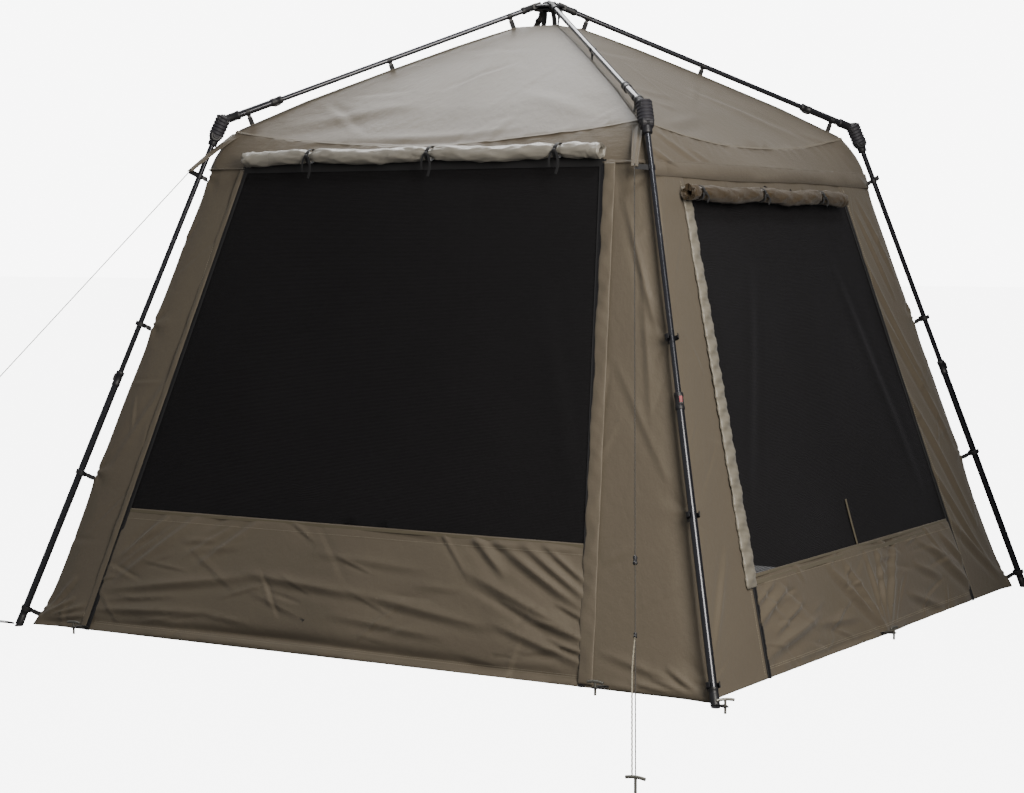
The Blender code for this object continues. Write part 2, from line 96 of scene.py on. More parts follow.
def area_light(name, place, target, size, power, colour="#FFFFFF"):
    """A square softbox that looks from its place at a target."""
    lamp = bpy.data.lights.new(name, "AREA")
    lamp.shape = "SQUARE"
    lamp.size = size
    lamp.energy = power
    lamp.color = linear(colour)[:3]
    made = bpy.data.objects.new(name, lamp)
    made.location = MIDDLE + Vector(place)
    made.rotation_euler = (Vector(place) - Vector(target)).to_track_quat("Z", "Y").to_euler()
    bpy.context.scene.collection.objects.link(made)


def paper_skin():
    """Matt pale background paper. It is lit from below for the camera, as a light table is, so it
    stays white behind the piece while it throws little light back."""
    skin = bpy.data.materials.new("matt_background_paper")
    skin.use_nodes = True
    tree = skin.node_tree
    shader = tree.nodes["Principled BSDF"]
    place = add(tree, "ShaderNodeTexCoord").outputs["Object"]
    grain = add(tree, "ShaderNodeTexNoise", {"Vector": place, "Scale": 40.0}).outputs["Fac"]
    tone = add(tree, "ShaderNodeMix", {"Factor": grain, "A": linear("#5C5C5C"), "B": linear("#666666")},
               data_type="RGBA")
    tree.links.new(tone.outputs["Result"], shader.inputs["Base Color"])
    shader.inputs["Roughness"].default_value = 0.9
    seen = add(tree, "ShaderNodeLightPath").outputs["Is Camera Ray"]
    glow = add(tree, "ShaderNodeMath", {0: seen, 1: PAPER_GLOW}, operation="MULTIPLY").outputs[0]
    shader.inputs["Emission Color"].default_value = linear("#FFFFFF")
    tree.links.new(glow, shader.inputs["Emission Strength"])
    return skin


def flag_skin():
    """Black duvetyne: a napped cotton that takes nearly all the light."""
    skin = bpy.data.materials.new("black_duvetyne")
    skin.use_nodes = True
    tree = skin.node_tree
    shader = tree.nodes["Principled BSDF"]
    place = add(tree, "ShaderNodeTexCoord").outputs["Object"]
    nap = add(tree, "ShaderNodeTexNoise", {"Vector": place, "Scale": 300.0}).outputs["Fac"]
    tone = add(tree, "ShaderNodeMix", {"Factor": nap, "A": linear("#0A0A0A"), "B": linear("#141414")},
               data_type="RGBA")
    tree.links.new(tone.outputs["Result"], shader.inputs["Base Color"])
    shader.inputs["Roughness"].default_value = 1.0
    shader.inputs["Specular IOR Level"].default_value = 0.1
    return skin


SWEEP_REACH = 60.0
PAPER_GLOW = 7.0
SKY_SEEN = 8.0
SKY_LIGHT = 0.30
sweep = bpy.data.meshes.new("paper_sweep")
sweep.from_pydata([(x * SWEEP_REACH, y * SWEEP_REACH, 0) for x, y in ((-1, -1), (1, -1), (1, 1), (-1, 1))],
                  [], [(0, 1, 2, 3)])
sweep_object = bpy.data.objects.new("paper_sweep", sweep)
sweep.materials.append(paper_skin())
bpy.context.scene.collection.objects.link(sweep_object)

world = bpy.data.worlds.new("studio")
world.use_nodes = True
bpy.context.scene.world = world
sky = world.node_tree
seen = add(sky, "ShaderNodeLightPath").outputs["Is Camera Ray"]
level = add(sky, "ShaderNodeMapRange", {"Value": seen, "To Min": SKY_LIGHT, "To Max": SKY_SEEN})
background = sky.nodes["Background"]
background.inputs["Color"].default_value = linear("#FFFFFF")
sky.links.new(level.outputs["Result"], background.inputs["Strength"])
area_light("roof_softbox", (-1.8, 1.2, 5.3), (0, -0.1, 1.6), 3.0, 205)
area_light("key_softbox", (3.85, -3.25, 2.5), (0.9, -0.9, 0.9), 1.8, 200, "#FFF8EE")
area_light("rim_softbox", (3.2, -2.6, 5.2), (0.9, -0.9, 1.4), 1.0, 85)
flag = bpy.data.meshes.new("black_flag")
flag.from_pydata([(2.6, y, z) for y, z in ((-0.7, 0.01), (4.6, 0.01), (4.6, 2.4), (-0.7, 2.4))], [], [(0, 1, 2, 3)])
flag.materials.append(flag_skin())
flag_object = bpy.data.objects.new("black_flag", flag)
flag_object.location = MIDDLE
flag_object.visible_camera = False
bpy.context.scene.collection.objects.link(flag_object)


# ---- Hub.
# A dished black nylon boss, injection moulded in two halves with a domed cap, radial ribs and a
# clevis for each roof pole, held by a screw through the middle.
HUB_Z = 2.205
HUB_T = 0.04
HUB_SOCKET_REACH = 0.105
HUB_RIBS = 20
HUB_RIB_SIZE = (0.017, 0.0022, 0.0022)
INNER_R = 0.0095
OUTER_R = 0.0125
ROOT2 = sqrt(2.0)
CORNERS = {"front_right": 0, "back_right": 1, "back_left": 2, "front_left": 3}
CORNER_NAMES = list(CORNERS)


def moulded_nylon(name, colour, roughness):
    """Glass-filled nylon: a satin black with the faint orange peel of the mould, dusty and a
    little paler where it has been handled."""
    skin = bpy.data.materials.new(name)
    skin.use_nodes = True
    tree = skin.node_tree
    shader = tree.nodes["Principled BSDF"]
    place = add(tree, "ShaderNodeTexCoord").outputs["Object"]
    dust = add(tree, "ShaderNodeTexNoise", {"Vector": place, "Scale": 45.0, "Detail": 4.0})
    tone = add(tree, "ShaderNodeMix", {"Factor": dust.outputs["Fac"], "A": linear(colour), "B": linear("#232328")},
               data_type="RGBA")
    tree.links.new(tone.outputs["Result"], shader.inputs["Base Color"])
    peel = add(tree, "ShaderNodeTexNoise", {"Vector": place, "Scale": 900.0, "Detail": 2.0})
    bump = add(tree, "ShaderNodeBump", {"Height": peel.outputs["Fac"], "Distance": 0.0002, "Strength": 0.4})
    tree.links.new(bump.outputs["Normal"], shader.inputs["Normal"])
    shader.inputs["Roughness"].default_value = roughness
    return skin


def painted_steel(name, colour, worn, roughness):
    """Steel tube under a thin gloss paint: near black with a clear long highlight, drawn lines along
    the tube and small worn flecks."""
    skin = bpy.data.materials.new(name)
    skin.use_nodes = True
    tree = skin.node_tree
    shader = tree.nodes["Principled BSDF"]
    place = add(tree, "ShaderNodeTexCoord").outputs["Object"]
    wear = add(tree, "ShaderNodeTexNoise", {"Vector": place, "Scale": 60.0, "Detail": 8.0, "Roughness": 0.7})
    fleck = add(tree, "ShaderNodeMapRange", {"Value": wear.outputs["Fac"], "From Min": 0.60, "From Max": 0.72})
    tone = add(tree, "ShaderNodeMix", {"Factor": fleck.outputs["Result"], "A": linear(colour), "B": linear(worn)},
               data_type="RGBA")
    tree.links.new(tone.outputs["Result"], shader.inputs["Base Color"])
    matt = add(tree, "ShaderNodeMapRange", {"Value": wear.outputs["Fac"], "To Min": roughness - 0.06,
                                            "To Max": roughness + 0.08})
    tree.links.new(matt.outputs["Result"], shader.inputs["Roughness"])
    shader.inputs["Metallic"].default_value = 0.7
    shader.inputs["Coat Weight"].default_value = 0.5
    shader.inputs["Coat Roughness"].default_value = 0.15
    return skin


NYLON_SKIN = moulded_nylon("black_moulded_nylon", "#0E0E10", 0.46)
TUBE_SKIN = painted_steel("black_painted_steel_tube", "#33343A", "#606268", 0.24)
SCREW_SKIN = painted_steel("zinc_plated_screw", "#8C8C90", "#B4B4B8", 0.35)


def quads(down, across, closed=False):
    """The faces of a grid of rows of points. A closed one joins its last column to its first."""
    faces = []
    for r in range(down - 1):
        for c in range(across if closed else across - 1):
            d = (c + 1) % across
            faces.append((r * across + c, (r + 1) * across + c, (r + 1) * across + d, r * across + d))
    return faces


def moved(points, place):
    """Points carried by a matrix."""
    place = np.array(place)
    return np.asarray(points) @ place[:3, :3].T + place[:3, 3]


def turned(profile, place, steps=32):
    """A solid of (radius, height) rings about the Z axis of a place, as points and faces."""
    angles = np.arange(steps) * 2 * pi / steps
    circle = np.stack([np.cos(angles), np.sin(angles), 0 * angles], -1)
    rings = [circle * r + (0, 0, h) for r, h in profile]
    return moved(np.concatenate(rings), place), quads(len(profile), steps, True)


def swept(path, section, across):
    """A closed section of (across, up) points carried along a path, as points and faces."""
    path = np.asarray(path, float)
    ahead = np.gradient(path, axis=0)
    ahead /= np.linalg.norm(ahead, axis=1)[:, None]
    side = np.asarray(across, float) - (ahead @ np.asarray(across, float))[:, None] * ahead
    side /= np.linalg.norm(side, axis=1)[:, None]
    up = np.cross(side, ahead)
    section = np.asarray(section, float)
    rings = path[:, None] + side[:, None] * section[None, :, :1] + up[:, None] * section[None, :, 1:]
    count, last = len(section), len(section) * (len(path) - 1)
    faces = quads(len(path), count, True)
    return rings.reshape(-1, 3), faces + [tuple(range(count)), tuple(last + i for i in range(count))[::-1]]


def disc(radius, steps=12):
    """A round section for swept."""
    return [(radius * cos(2 * pi * i / steps), radius * sin(2 * pi * i / steps)) for i in range(steps)]


def band(width, thickness):
    """A flat section for swept, such as webbing."""
    return [(-width / 2, -thickness / 2), (width / 2, -thickness / 2), (width / 2, thickness / 2),
            (-width / 2, thickness / 2)]


def brick(size, place):
    """A block of a size, centred in a place, as points and faces."""
    x, y, z = (c / 2 for c in size)
    points = [(i * x, j * y, k * z) for i in (-1, 1) for j in (-1, 1) for k in (-1, 1)]
    faces = [(0, 1, 3, 2), (4, 6, 7, 5), (0, 4, 5, 1), (2, 3, 7, 6), (0, 2, 6, 4), (1, 5, 7, 3)]
    return moved(points, place), faces


def part(name, shells, skin, body="gazebo", stands_for=(), bevel=0.0):
    """One piece made of closed shells: merged, turned outwards, shaded, and riding on its body."""
    form = bmesh.new()
    for points, faces in shells:
        corners = [form.verts.new(p) for p in points]
        for face in faces:
            form.faces.new([corners[i] for i in face])
    bmesh.ops.remove_doubles(form, verts=form.verts, dist=0.000002)
    bmesh.ops.dissolve_degenerate(form, edges=form.edges, dist=0.0000001)
    bmesh.ops.recalc_face_normals(form, faces=form.faces)
    data = bpy.data.meshes.new(name)
    form.to_mesh(data)
    form.free()
    data.shade_smooth()
    data.set_sharp_from_angle(angle=radians(38))
    data.materials.append(skin)
    made = bpy.data.objects.new(name, data)
    bpy.context.scene.collection.objects.link(made)
    if bevel:
        rounding = made.modifiers.new("rounded_edges", "BEVEL")
        rounding.width = bevel
        rounding.segments = 2
        rounding.limit_method = "ANGLE"
        rounding.angle_limit = radians(38)
    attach(made, body)
    if stands_for:
        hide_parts(*stands_for)
    return made


def corner_place(corner):
    """The frame of a corner: X runs out along the diagonal, Z up."""
    return Matrix.Translation(MIDDLE) @ Matrix.Rotation(pi / 2 * CORNERS[corner] - pi / 4, 4, "Z")


def along(start, axis, across=Vector((0, 1, 0))):
    """A place at start whose Z runs along an axis and whose Y is across."""
    axis = Vector(axis).normalized()
    columns = Matrix((Vector(across).cross(axis), across, axis)).transposed()
    return Matrix.Translation(start) @ columns.to_4x4()


def repeat_tree(name):
    """A Geometry Nodes tree that sets one small block at each step along edges that carry the
    direction they face in the attribute "out"."""
    tree = bpy.data.node_groups.new(name, "GeometryNodeTree")
    face = tree.interface
    face.new_socket("Geometry", in_out="INPUT", socket_type="NodeSocketGeometry")
    face.new_socket("Spacing", in_out="INPUT", socket_type="NodeSocketFloat")
    face.new_socket("Block Size", in_out="INPUT", socket_type="NodeSocketVector")
    face.new_socket("Finish", in_out="INPUT", socket_type="NodeSocketMaterial")
    face.new_socket("Geometry", in_out="OUTPUT", socket_type="NodeSocketGeometry")
    given = add(tree, "NodeGroupInput").outputs
    line = add(tree, "GeometryNodeMeshToCurve", {"Mesh": given["Geometry"]})
    steps = add(tree, "GeometryNodeResampleCurve", {"Curve": line.outputs["Curve"], "Length": given["Spacing"]},
                mode="LENGTH")
    block = add(tree, "GeometryNodeMeshCube", {"Size": given["Block Size"]})
    facing = add(tree, "GeometryNodeInputNamedAttribute", {"Name": "out"}, data_type="FLOAT_VECTOR")
    ahead = add(tree, "GeometryNodeInputTangent")
    first = add(tree, "FunctionNodeAlignRotationToVector", {"Vector": ahead.outputs["Tangent"]}, axis="X")
    second = add(tree, "FunctionNodeAlignRotationToVector", {"Rotation": first.outputs["Rotation"],
                                                             "Vector": facing.outputs["Attribute"]},
                 axis="Z", pivot_axis="X")
    placed = add(tree, "GeometryNodeInstanceOnPoints", {"Points": steps.outputs["Curve"],
                                                        "Instance": block.outputs["Mesh"],
                                                        "Rotation": second.outputs["Rotation"]})
    real = add(tree, "GeometryNodeRealizeInstances", {"Geometry": placed.outputs["Instances"]})
    finish = add(tree, "GeometryNodeSetMaterial", {"Geometry": real.outputs["Geometry"],
                                                   "Material": given["Finish"]})
    add(tree, "NodeGroupOutput", {"Geometry": finish.outputs["Geometry"]})
    return tree


REPEAT = repeat_tree("blocks_along_a_line")


def repeated(name, paths, spacing, size, skin, body="gazebo"):
    """Small blocks along (points, outward directions) lines, as one plain mesh. A block's size is
    along the line, across it, and proud of it."""
    points, outs, edges = [], [], []
    for path, out in paths:
        edges += [(len(points) + i, len(points) + i + 1) for i in range(len(path) - 1)]
        points += [tuple(p) for p in path]
        outs += [tuple(o) for o in np.broadcast_to(out, np.shape(path))]
    data = bpy.data.meshes.new(name + "_line")
    data.from_pydata(points, edges, [])
    data.attributes.new("out", "FLOAT_VECTOR", "POINT").data.foreach_set("vector", np.array(outs).ravel())
    line = bpy.data.objects.new(name + "_line", data)
    bpy.context.scene.collection.objects.link(line)
    maker = line.modifiers.new("repeat", "NODES")
    maker.node_group = REPEAT
    named = {item.name: item.identifier for item in REPEAT.interface.items_tree if item.in_out == "INPUT"}
    maker[named["Spacing"]] = spacing
    maker[named["Block Size"]] = size
    maker[named["Finish"]] = skin
    ready = line.evaluated_get(bpy.context.evaluated_depsgraph_get())
    made = bpy.data.objects.new(name, bpy.data.meshes.new_from_object(ready))
    bpy.data.objects.remove(line)
    bpy.context.scene.collection.objects.link(made)
    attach(made, body)
    return made


def roof_point(t):
    """A point on a roof pole's axis, in its corner's frame."""
    share = (t - HUB_T) / (ELBOW_T - HUB_T)
    return Vector((ROOT2 * t, 0, HUB_Z + share * (ELBOW_Z - HUB_Z)))


ELBOW_T = 0.845
ELBOW_Z = 1.778
ROOF_AXIS = (roof_point(ELBOW_T) - roof_point(HUB_T)).normalized()
hub_place = Matrix.Translation(MIDDLE + Vector((0, 0, HUB_Z)))
hub_shells = [
    turned([(0, 0.0228), (0.010, 0.0225), (0.018, 0.0205), (0.022, 0.0170), (0.024, 0.0130), (0.034, 0.0112),
            (0.046, 0.0090), (0.0550, 0.0062), (0.0582, 0.0030), (0.0585, -0.0010), (0.0560, -0.0030),
            (0.030, -0.0035), (0, -0.0035)], hub_place, 64),
    turned([(0, -0.0034), (0.026, -0.0034), (0.027, -0.0080), (0.0500, -0.0085), (0.0540, -0.0100),
            (0.0550, -0.0118), (0.0520, -0.0130), (0, -0.0130)], hub_place, 64)]
for corner in CORNERS:
    place = corner_place(corner)
    mouth = roof_point(HUB_T) + ROOF_AXIS * (HUB_SOCKET_REACH - ROOT2 * HUB_T)
    start = mouth - ROOF_AXIS * 0.062
    sleeve = [(0, 0), (0.0110, 0), (0.0122, 0.002), (0.0122, 0.046), (0.0132, 0.048), (0.0135, 0.052),
              (0.0135, 0.059), (0.0125, 0.062), (0.0100, 0.062), (0.0100, 0.050), (0, 0.050)]
    hub_shells.append(turned(sleeve, place @ along(start, ROOF_AXIS), 32))
    for side_step in (-0.0128, 0.0128):
        cheek = along(start + Vector((0.004, side_step, 0)), ROOF_AXIS)
        hub_shells.append(brick((0.019, 0.0035, 0.034), place @ cheek))
    pin = place @ Matrix.Translation(start + Vector((0.004, 0, 0))) @ Matrix.Rotation(pi / 2, 4, "X")
    hub_shells.append(turned([(0, -0.017), (0.0035, -0.017), (0.0035, 0.017), (0, 0.017)], pin, 16))
hub_crown = part("hub_crown", hub_shells, NYLON_SKIN, stands_for=["hub"], bevel=0.0006)
circle = [Vector((cos(2 * pi * i / 72), sin(2 * pi * i / 72), 0)) for i in range(73)]
rib_line = [hub_place @ (way * 0.0425 + Vector((0, 0, 0.0098))) for way in circle]
repeated("hub_ribs", [(rib_line, (0, 0, 1))], 2 * pi * 0.0425 / HUB_RIBS, HUB_RIB_SIZE, NYLON_SKIN)
screw = [(0, 0.0262), (0.0042, 0.0262), (0.0055, 0.0250), (0.0055, 0.0225), (0, 0.0225)]
part("hub_screw", [turned(screw, hub_place, 24)], SCREW_SKIN)


# ---- Roof poles.
# Four painted steel tubes run out from the hub. Each slides in a short, thicker tube that has a
# nylon lock collar with a push lever, and ends in the knuckle over its leg.
ROOF_LOCK_T = 0.70
COLLAR_R = 0.0145
FIT_GAP = 0.0003
SLEEVE_LENGTH = 0.065
SLEEVE_DEPTH = 0.05
LEG_SLEEVE_LENGTH = 0.038
LEG_SLEEVE_DEPTH = 0.028


def lock_collar(place, bore, tube_r, length, lever_way=1):
    """A lock's shells: a ribbed collar about a tube with a lever that stands out along X."""
    collar = [(bore, 0), (COLLAR_R - 0.001, 0), (COLLAR_R, 0.002), (COLLAR_R, 0.012), (COLLAR_R - 0.001, 0.0135),
              (COLLAR_R - 0.001, length - 0.014), (COLLAR_R, length - 0.0125), (COLLAR_R, length - 0.002),
              (COLLAR_R - 0.001, length), (bore, length)]
    points, faces = turned(collar + [collar[0]], place, 40)
    housing = place @ Matrix.Translation((lever_way * (COLLAR_R - 0.001), 0, length * 0.55))
    button = place @ Matrix.Translation((lever_way * (COLLAR_R + 0.0022), 0, length * 0.55))
    return [(points, faces), brick((0.005, 0.013, 0.028), housing)], [brick((0.0028, 0.010, 0.020), button)]


for corner in CORNERS:
    place = corner_place(corner)
    lock = roof_point(ROOF_LOCK_T)
    elbow = roof_point(ELBOW_T)
    seat = roof_point(HUB_T) + ROOF_AXIS * 0.0135
    inner = (lock + ROOF_AXIS * 0.06 - seat).length
    part("roof_tube_inner_" + corner,
         [turned([(0, 0), (INNER_R - 0.0008, 0), (INNER_R, 0.0008), (INNER_R, inner), (0, inner)],
                 place @ along(seat, ROOF_AXIS), 40)],
         TUBE_SKIN, stands_for=["roof_pole_inner_" + corner])
    end = elbow - ROOF_AXIS * (SLEEVE_LENGTH - SLEEVE_DEPTH + 0.0005)
    length = (end - lock).length
    bore = INNER_R + FIT_GAP
    outer = [(0, length), (OUTER_R, length), (OUTER_R, 0.004), (bore, 0.004), (bore, 0.065), (0, 0.065)]
    part("roof_tube_outer_" + corner, [turned(outer, place @ along(lock, ROOF_AXIS), 40)],
         TUBE_SKIN, stands_for=["roof_pole_outer_" + corner])
    collars, buttons = lock_collar(place @ along(lock - ROOF_AXIS * 0.008, ROOF_AXIS), INNER_R + 0.0001, OUTER_R,
                                   0.042)
    part("roof_lock_" + corner, collars, NYLON_SKIN, bevel=0.0008)
    part("roof_lock_lever_" + corner, buttons, NYLON_SKIN, bevel=0.0008)


# ---- Knuckles.
# Each is a pair of fluted nylon knobs on steel pins, joined by a link, so a pole folds down beside
# its leg. Sockets hold the tubes. The fluting is moulded round both knobs.
PIVOT_R = 0.023
PIVOT_WIDTH = 0.046
FLUTES = 18
BOOT_RIBS = 6
FOOT_T = 1.363
LEG_LEAN = 0.2903
KNEE_Z = 1.725


def leg_point(length):
    """A point on a leg's axis, this far from the ground along it, in its corner's frame."""
    rise = length / sqrt(1 + 2 * LEG_LEAN ** 2)
    return Vector((ROOT2 * (FOOT_T - LEG_LEAN * rise), 0, rise))


def leg_length(z):
    """How far along the leg a height lies."""
    return z * sqrt(1 + 2 * LEG_LEAN ** 2)


LEG_AXIS = (leg_point(1) - leg_point(0)).normalized()
LEG_OUT = Vector((LEG_AXIS.z, 0, -LEG_AXIS.x))
KNEE_LENGTH = leg_length(KNEE_Z)
RUBBER_SKIN = moulded_nylon("grey_moulded_rubber_boot", "#2A2830", 0.62)
for corner in CORNERS:
    place = corner_place(corner)
    elbow, knee = roof_point(ELBOW_T), leg_point(KNEE_LENGTH)
    half = PIVOT_WIDTH / 2
    knob = [(0, -half), (0.010, -half), (0.0105, 0.002 - half), (PIVOT_R - 0.005, 0.002 - half),
            (PIVOT_R - 0.0022, 0.005 - half), (PIVOT_R - 0.0015, 0.008 - half), (PIVOT_R - 0.0015, -0.003),
            (PIVOT_R - 0.0035, -0.0015), (PIVOT_R - 0.0035, 0.0015), (PIVOT_R - 0.0015, 0.003),
            (PIVOT_R - 0.0015, half - 0.008), (PIVOT_R - 0.0022, half - 0.005), (PIVOT_R - 0.005, half - 0.002),
            (0.0105, half - 0.002), (0.010, half), (0, half)]
    shells = []
    flute_lines = []
    for pivot in (elbow, knee):
        stand = place @ Matrix.Translation(pivot) @ Matrix.Rotation(pi / 2, 4, "X")
        shells.append(turned(knob, stand, 48))
        for step in (-1, 1):
            ring = [stand @ (way * (PIVOT_R - 0.0012) + Vector((0, 0, step * 0.0105))) for way in circle]
            outs = [stand.to_3x3() @ way for way in circle]
            flute_lines.append((ring, outs))
    link = along((elbow + knee) / 2, knee - elbow)
    shells.append(brick((0.026, 0.030, (knee - elbow).length + 0.004), place @ link))
    socket = OUTER_R + 0.003
    shells.append(turned([(0, 0.010), (socket, 0.010), (socket, SLEEVE_LENGTH - 0.012),
                          (socket + 0.0012, SLEEVE_LENGTH - 0.010), (socket + 0.0012, SLEEVE_LENGTH - 0.002),
                          (socket, SLEEVE_LENGTH), (OUTER_R + 0.0002, SLEEVE_LENGTH),
                          (OUTER_R + 0.0002, SLEEVE_LENGTH - 0.01), (0, SLEEVE_LENGTH - 0.01)],
                         place @ along(elbow, -ROOF_AXIS), 36))
    length = LEG_SLEEVE_LENGTH
    shells.append(turned([(0, 0.010), (0.0165, 0.014), (0.0165, length - 0.010), (0.0160, length - 0.002),
                          (0.0150, length),
                          (INNER_R + 0.0002, length), (INNER_R + 0.0002, length - 0.01), (0, length - 0.01)],
                         place @ along(knee, -LEG_AXIS), 36))
    part("knuckle_joint_" + corner, shells, NYLON_SKIN, stands_for=["knuckle_" + corner],
         bevel=0.0008)
    repeated("knuckle_flutes_" + corner, flute_lines, 2 * pi * (PIVOT_R - 0.0012) / FLUTES,
             (0.0032, 0.0130, 0.0032), RUBBER_SKIN)
    span = (knee - elbow).length
    boot = [(0.0200, -0.016), (0.0240, -0.014)]
    for k in range(BOOT_RIBS):
        height = -0.012 + (span + 0.014) * k / BOOT_RIBS
        boot += [(0.0268, height), (0.0268, height + 0.0050), (0.0240, height + 0.0070)]
    boot += [(0.0240, span + 0.004), (0.0200, span + 0.006), (0.0170, span + 0.006), (0.0170, -0.016)]
    points, faces = turned(boot + [boot[0]], place @ along(elbow, knee - elbow), 40)
    part("knuckle_boot_" + corner, [(points, faces)], RUBBER_SKIN, bevel=0.0008)


# ---- Legs.
# Two painted steel tubes each. The lower one slides up over the upper one, and its nylon collar
# has a spring lever; on the near leg that lever is red. The foot is a nylon cap with a steel plate.
LOWER_LEG = 0.965
LOWER_BORE_R = 0.011
LEG_OVERLAP = 0.09
COLLAR_LENGTH = 0.055
FOOT_CAP_LENGTH = 0.06
RED_SKIN = moulded_nylon("red_moulded_lever", "#C8323C", 0.40)
RED_LEVER_CORNER = "front_right"
for corner in CORNERS:
    place = corner_place(corner)
    low = leg_point(LOWER_LEG - LEG_OVERLAP)
    top = leg_point(KNEE_LENGTH) - LEG_AXIS * (LEG_SLEEVE_LENGTH - LEG_SLEEVE_DEPTH + 0.0005)
    length = (top - low).length
    part("leg_tube_upper_" + corner,
         [turned([(0, 0), (INNER_R - 0.0008, 0), (INNER_R, 0.0008), (INNER_R, length), (0, length)],
                 place @ along(low, LEG_AXIS), 40)],
         TUBE_SKIN, stands_for=["leg_upper_" + corner])
    foot = place @ along(leg_point(0), LEG_AXIS)
    lower = [(0, 0.05), (LOWER_BORE_R, 0.05), (LOWER_BORE_R, LOWER_LEG - 0.012), (OUTER_R - 0.0004, LOWER_LEG - 0.012),
             (OUTER_R, LOWER_LEG - 0.0125), (OUTER_R, 0.020), (0, 0.020)]
    rider = "telescopic_leg_" + corner
    part("leg_tube_lower_" + corner, [turned(lower, foot, 40)], TUBE_SKIN, rider,
         ["leg_lower_" + corner])
    collars, buttons = lock_collar(place @ along(leg_point(LOWER_LEG - COLLAR_LENGTH), LEG_AXIS), 0.0100, OUTER_R,
                                   COLLAR_LENGTH)
    part("leg_lock_" + corner, collars, NYLON_SKIN, rider, bevel=0.0008)
    part("leg_lock_lever_" + corner, buttons, RED_SKIN if corner == RED_LEVER_CORNER else NYLON_SKIN, rider,
         bevel=0.0008)
    cap = [(OUTER_R + 0.0001, 0.0600), (COLLAR_R - 0.0006, 0.0600), (COLLAR_R, 0.0590), (COLLAR_R, 0.0520),
           (COLLAR_R - 0.0006, 0.0510), (COLLAR_R - 0.0006, 0.0420), (COLLAR_R, 0.0410), (COLLAR_R, 0.006),
           (COLLAR_R - 0.001, 0.0050), (0, 0.0050), (0, 0.018), (OUTER_R + 0.0001, 0.018), (OUTER_R + 0.0001, 0.0600)]
    part("foot_cap_" + corner, [turned(cap, foot, 40)], NYLON_SKIN, rider)
    base = place @ Matrix.Translation((leg_point(0).x, 0, 0))
    plate = [(0, 0.0065), (0.0095, 0.0065), (0.0130, 0.0050), (0.0136, 0.0030), (0.0136, 0.0008), (0.0130, 0), (0, 0)]
    part("foot_plate_" + corner, [turned(plate, base, 40)], SCREW_SKIN, rider)


# ---- Walls of the tent: lower panels.
# Coated polyester, cut as flat panels and sewn. Each fills its wall from the ground to the sill of
# the mesh, and lies a little slack, so it creases between its zips and towards its pegs.
WALL_FOOT_T = 1.315
WALL_LEAN = 0.2728
WALL_TILT = atan(WALL_LEAN)
HEM_Z = 0.004
SEAM_Z = 1.61
CLOTH_THICKNESS = 0.0012
CLOTH_MIDDLE = 0.002
SEAM_OVERLAP = 0.009
FACES_KEPT = 0.40
TOP_Z = {"front": SEAM_Z, "right": 1.55, "back": 1.55, "left": 1.55}
SILL_Z = {"front": 0.42, "right": 0.31, "back": 0.31, "left": 0.31}
OPENING = {
    "front": (-0.712, 0.717, -1.090, 0.890),
    "right": (-0.670, 0.595, -0.893, 0.918),
    "back": (-0.630, 0.630, -0.900, 0.900),
    "left": (-0.630, 0.630, -0.900, 0.900),
}
SIDES = {"front": 0, "right": 1, "back": 2, "left": 3}
SIDE_NAMES = list(SIDES)


def coated_cloth(name, colour, light, roughness, thread):
    """Coated woven polyester: an even matt colour, slightly faded in patches, with a fine plain
    weave and a faint crinkle that catches a soft, broad gloss. thread is the drawn spacing."""
    skin = bpy.data.materials.new(name)
    skin.use_nodes = True
    tree = skin.node_tree
    shader = tree.nodes["Principled BSDF"]
    coords = add(tree, "ShaderNodeTexCoord")
    patch = add(tree, "ShaderNodeTexNoise", {"Vector": coords.outputs["Object"], "Scale": 2.2, "Detail": 5.0})
    tone = add(tree, "ShaderNodeMix", {"Factor": patch.outputs["Fac"], "A": linear(colour), "B": linear(light)},
               data_type="RGBA")
    fleck = add(tree, "ShaderNodeTexNoise", {"Vector": coords.outputs["UV"], "Scale": 260.0, "Detail": 2.0})
    worn = add(tree, "ShaderNodeMapRange", {"Value": fleck.outputs["Fac"], "To Min": 0.90, "To Max": 1.10})
    shade = add(tree, "ShaderNodeMix", {"Factor": 1.0, "A": tone.outputs["Result"], "B": worn.outputs["Result"]},
                data_type="RGBA", blend_type="MULTIPLY")
    tree.links.new(shade.outputs["Result"], shader.inputs["Base Color"])
    turns = 1 / thread
    warp = add(tree, "ShaderNodeTexWave", {"Vector": coords.outputs["UV"], "Scale": turns / 6.2832},
               bands_direction="X")
    weft = add(tree, "ShaderNodeTexWave", {"Vector": coords.outputs["UV"], "Scale": turns / 6.2832},
               bands_direction="Y")
    weave = add(tree, "ShaderNodeMath", {0: warp.outputs["Fac"], 1: weft.outputs["Fac"]}, operation="MULTIPLY")
    crinkle = add(tree, "ShaderNodeTexNoise", {"Vector": coords.outputs["UV"], "Scale": 26.0, "Detail": 6.0,
                                               "Roughness": 0.62})
    fine = add(tree, "ShaderNodeBump", {"Height": weave.outputs[0], "Distance": 0.0003, "Strength": 0.5})
    soft = add(tree, "ShaderNodeBump", {"Height": crinkle.outputs["Fac"], "Distance": 0.006, "Strength": 0.35,
                                        "Normal": fine.outputs["Normal"]})
    tree.links.new(soft.outputs["Normal"], shader.inputs["Normal"])
    gloss = add(tree, "ShaderNodeMapRange", {"Value": patch.outputs["Fac"], "To Min": roughness - 0.05,
                                             "To Max": roughness + 0.05})
    tree.links.new(gloss.outputs["Result"], shader.inputs["Roughness"])
    shader.inputs["Sheen Weight"].default_value = 0.12
    shader.inputs["Sheen Roughness"].default_value = 0.5
    return skin


WALL_SKIN = coated_cloth("olive_coated_polyester_wall", "#5A5245", "#645B4C", 0.60, 0.0016)


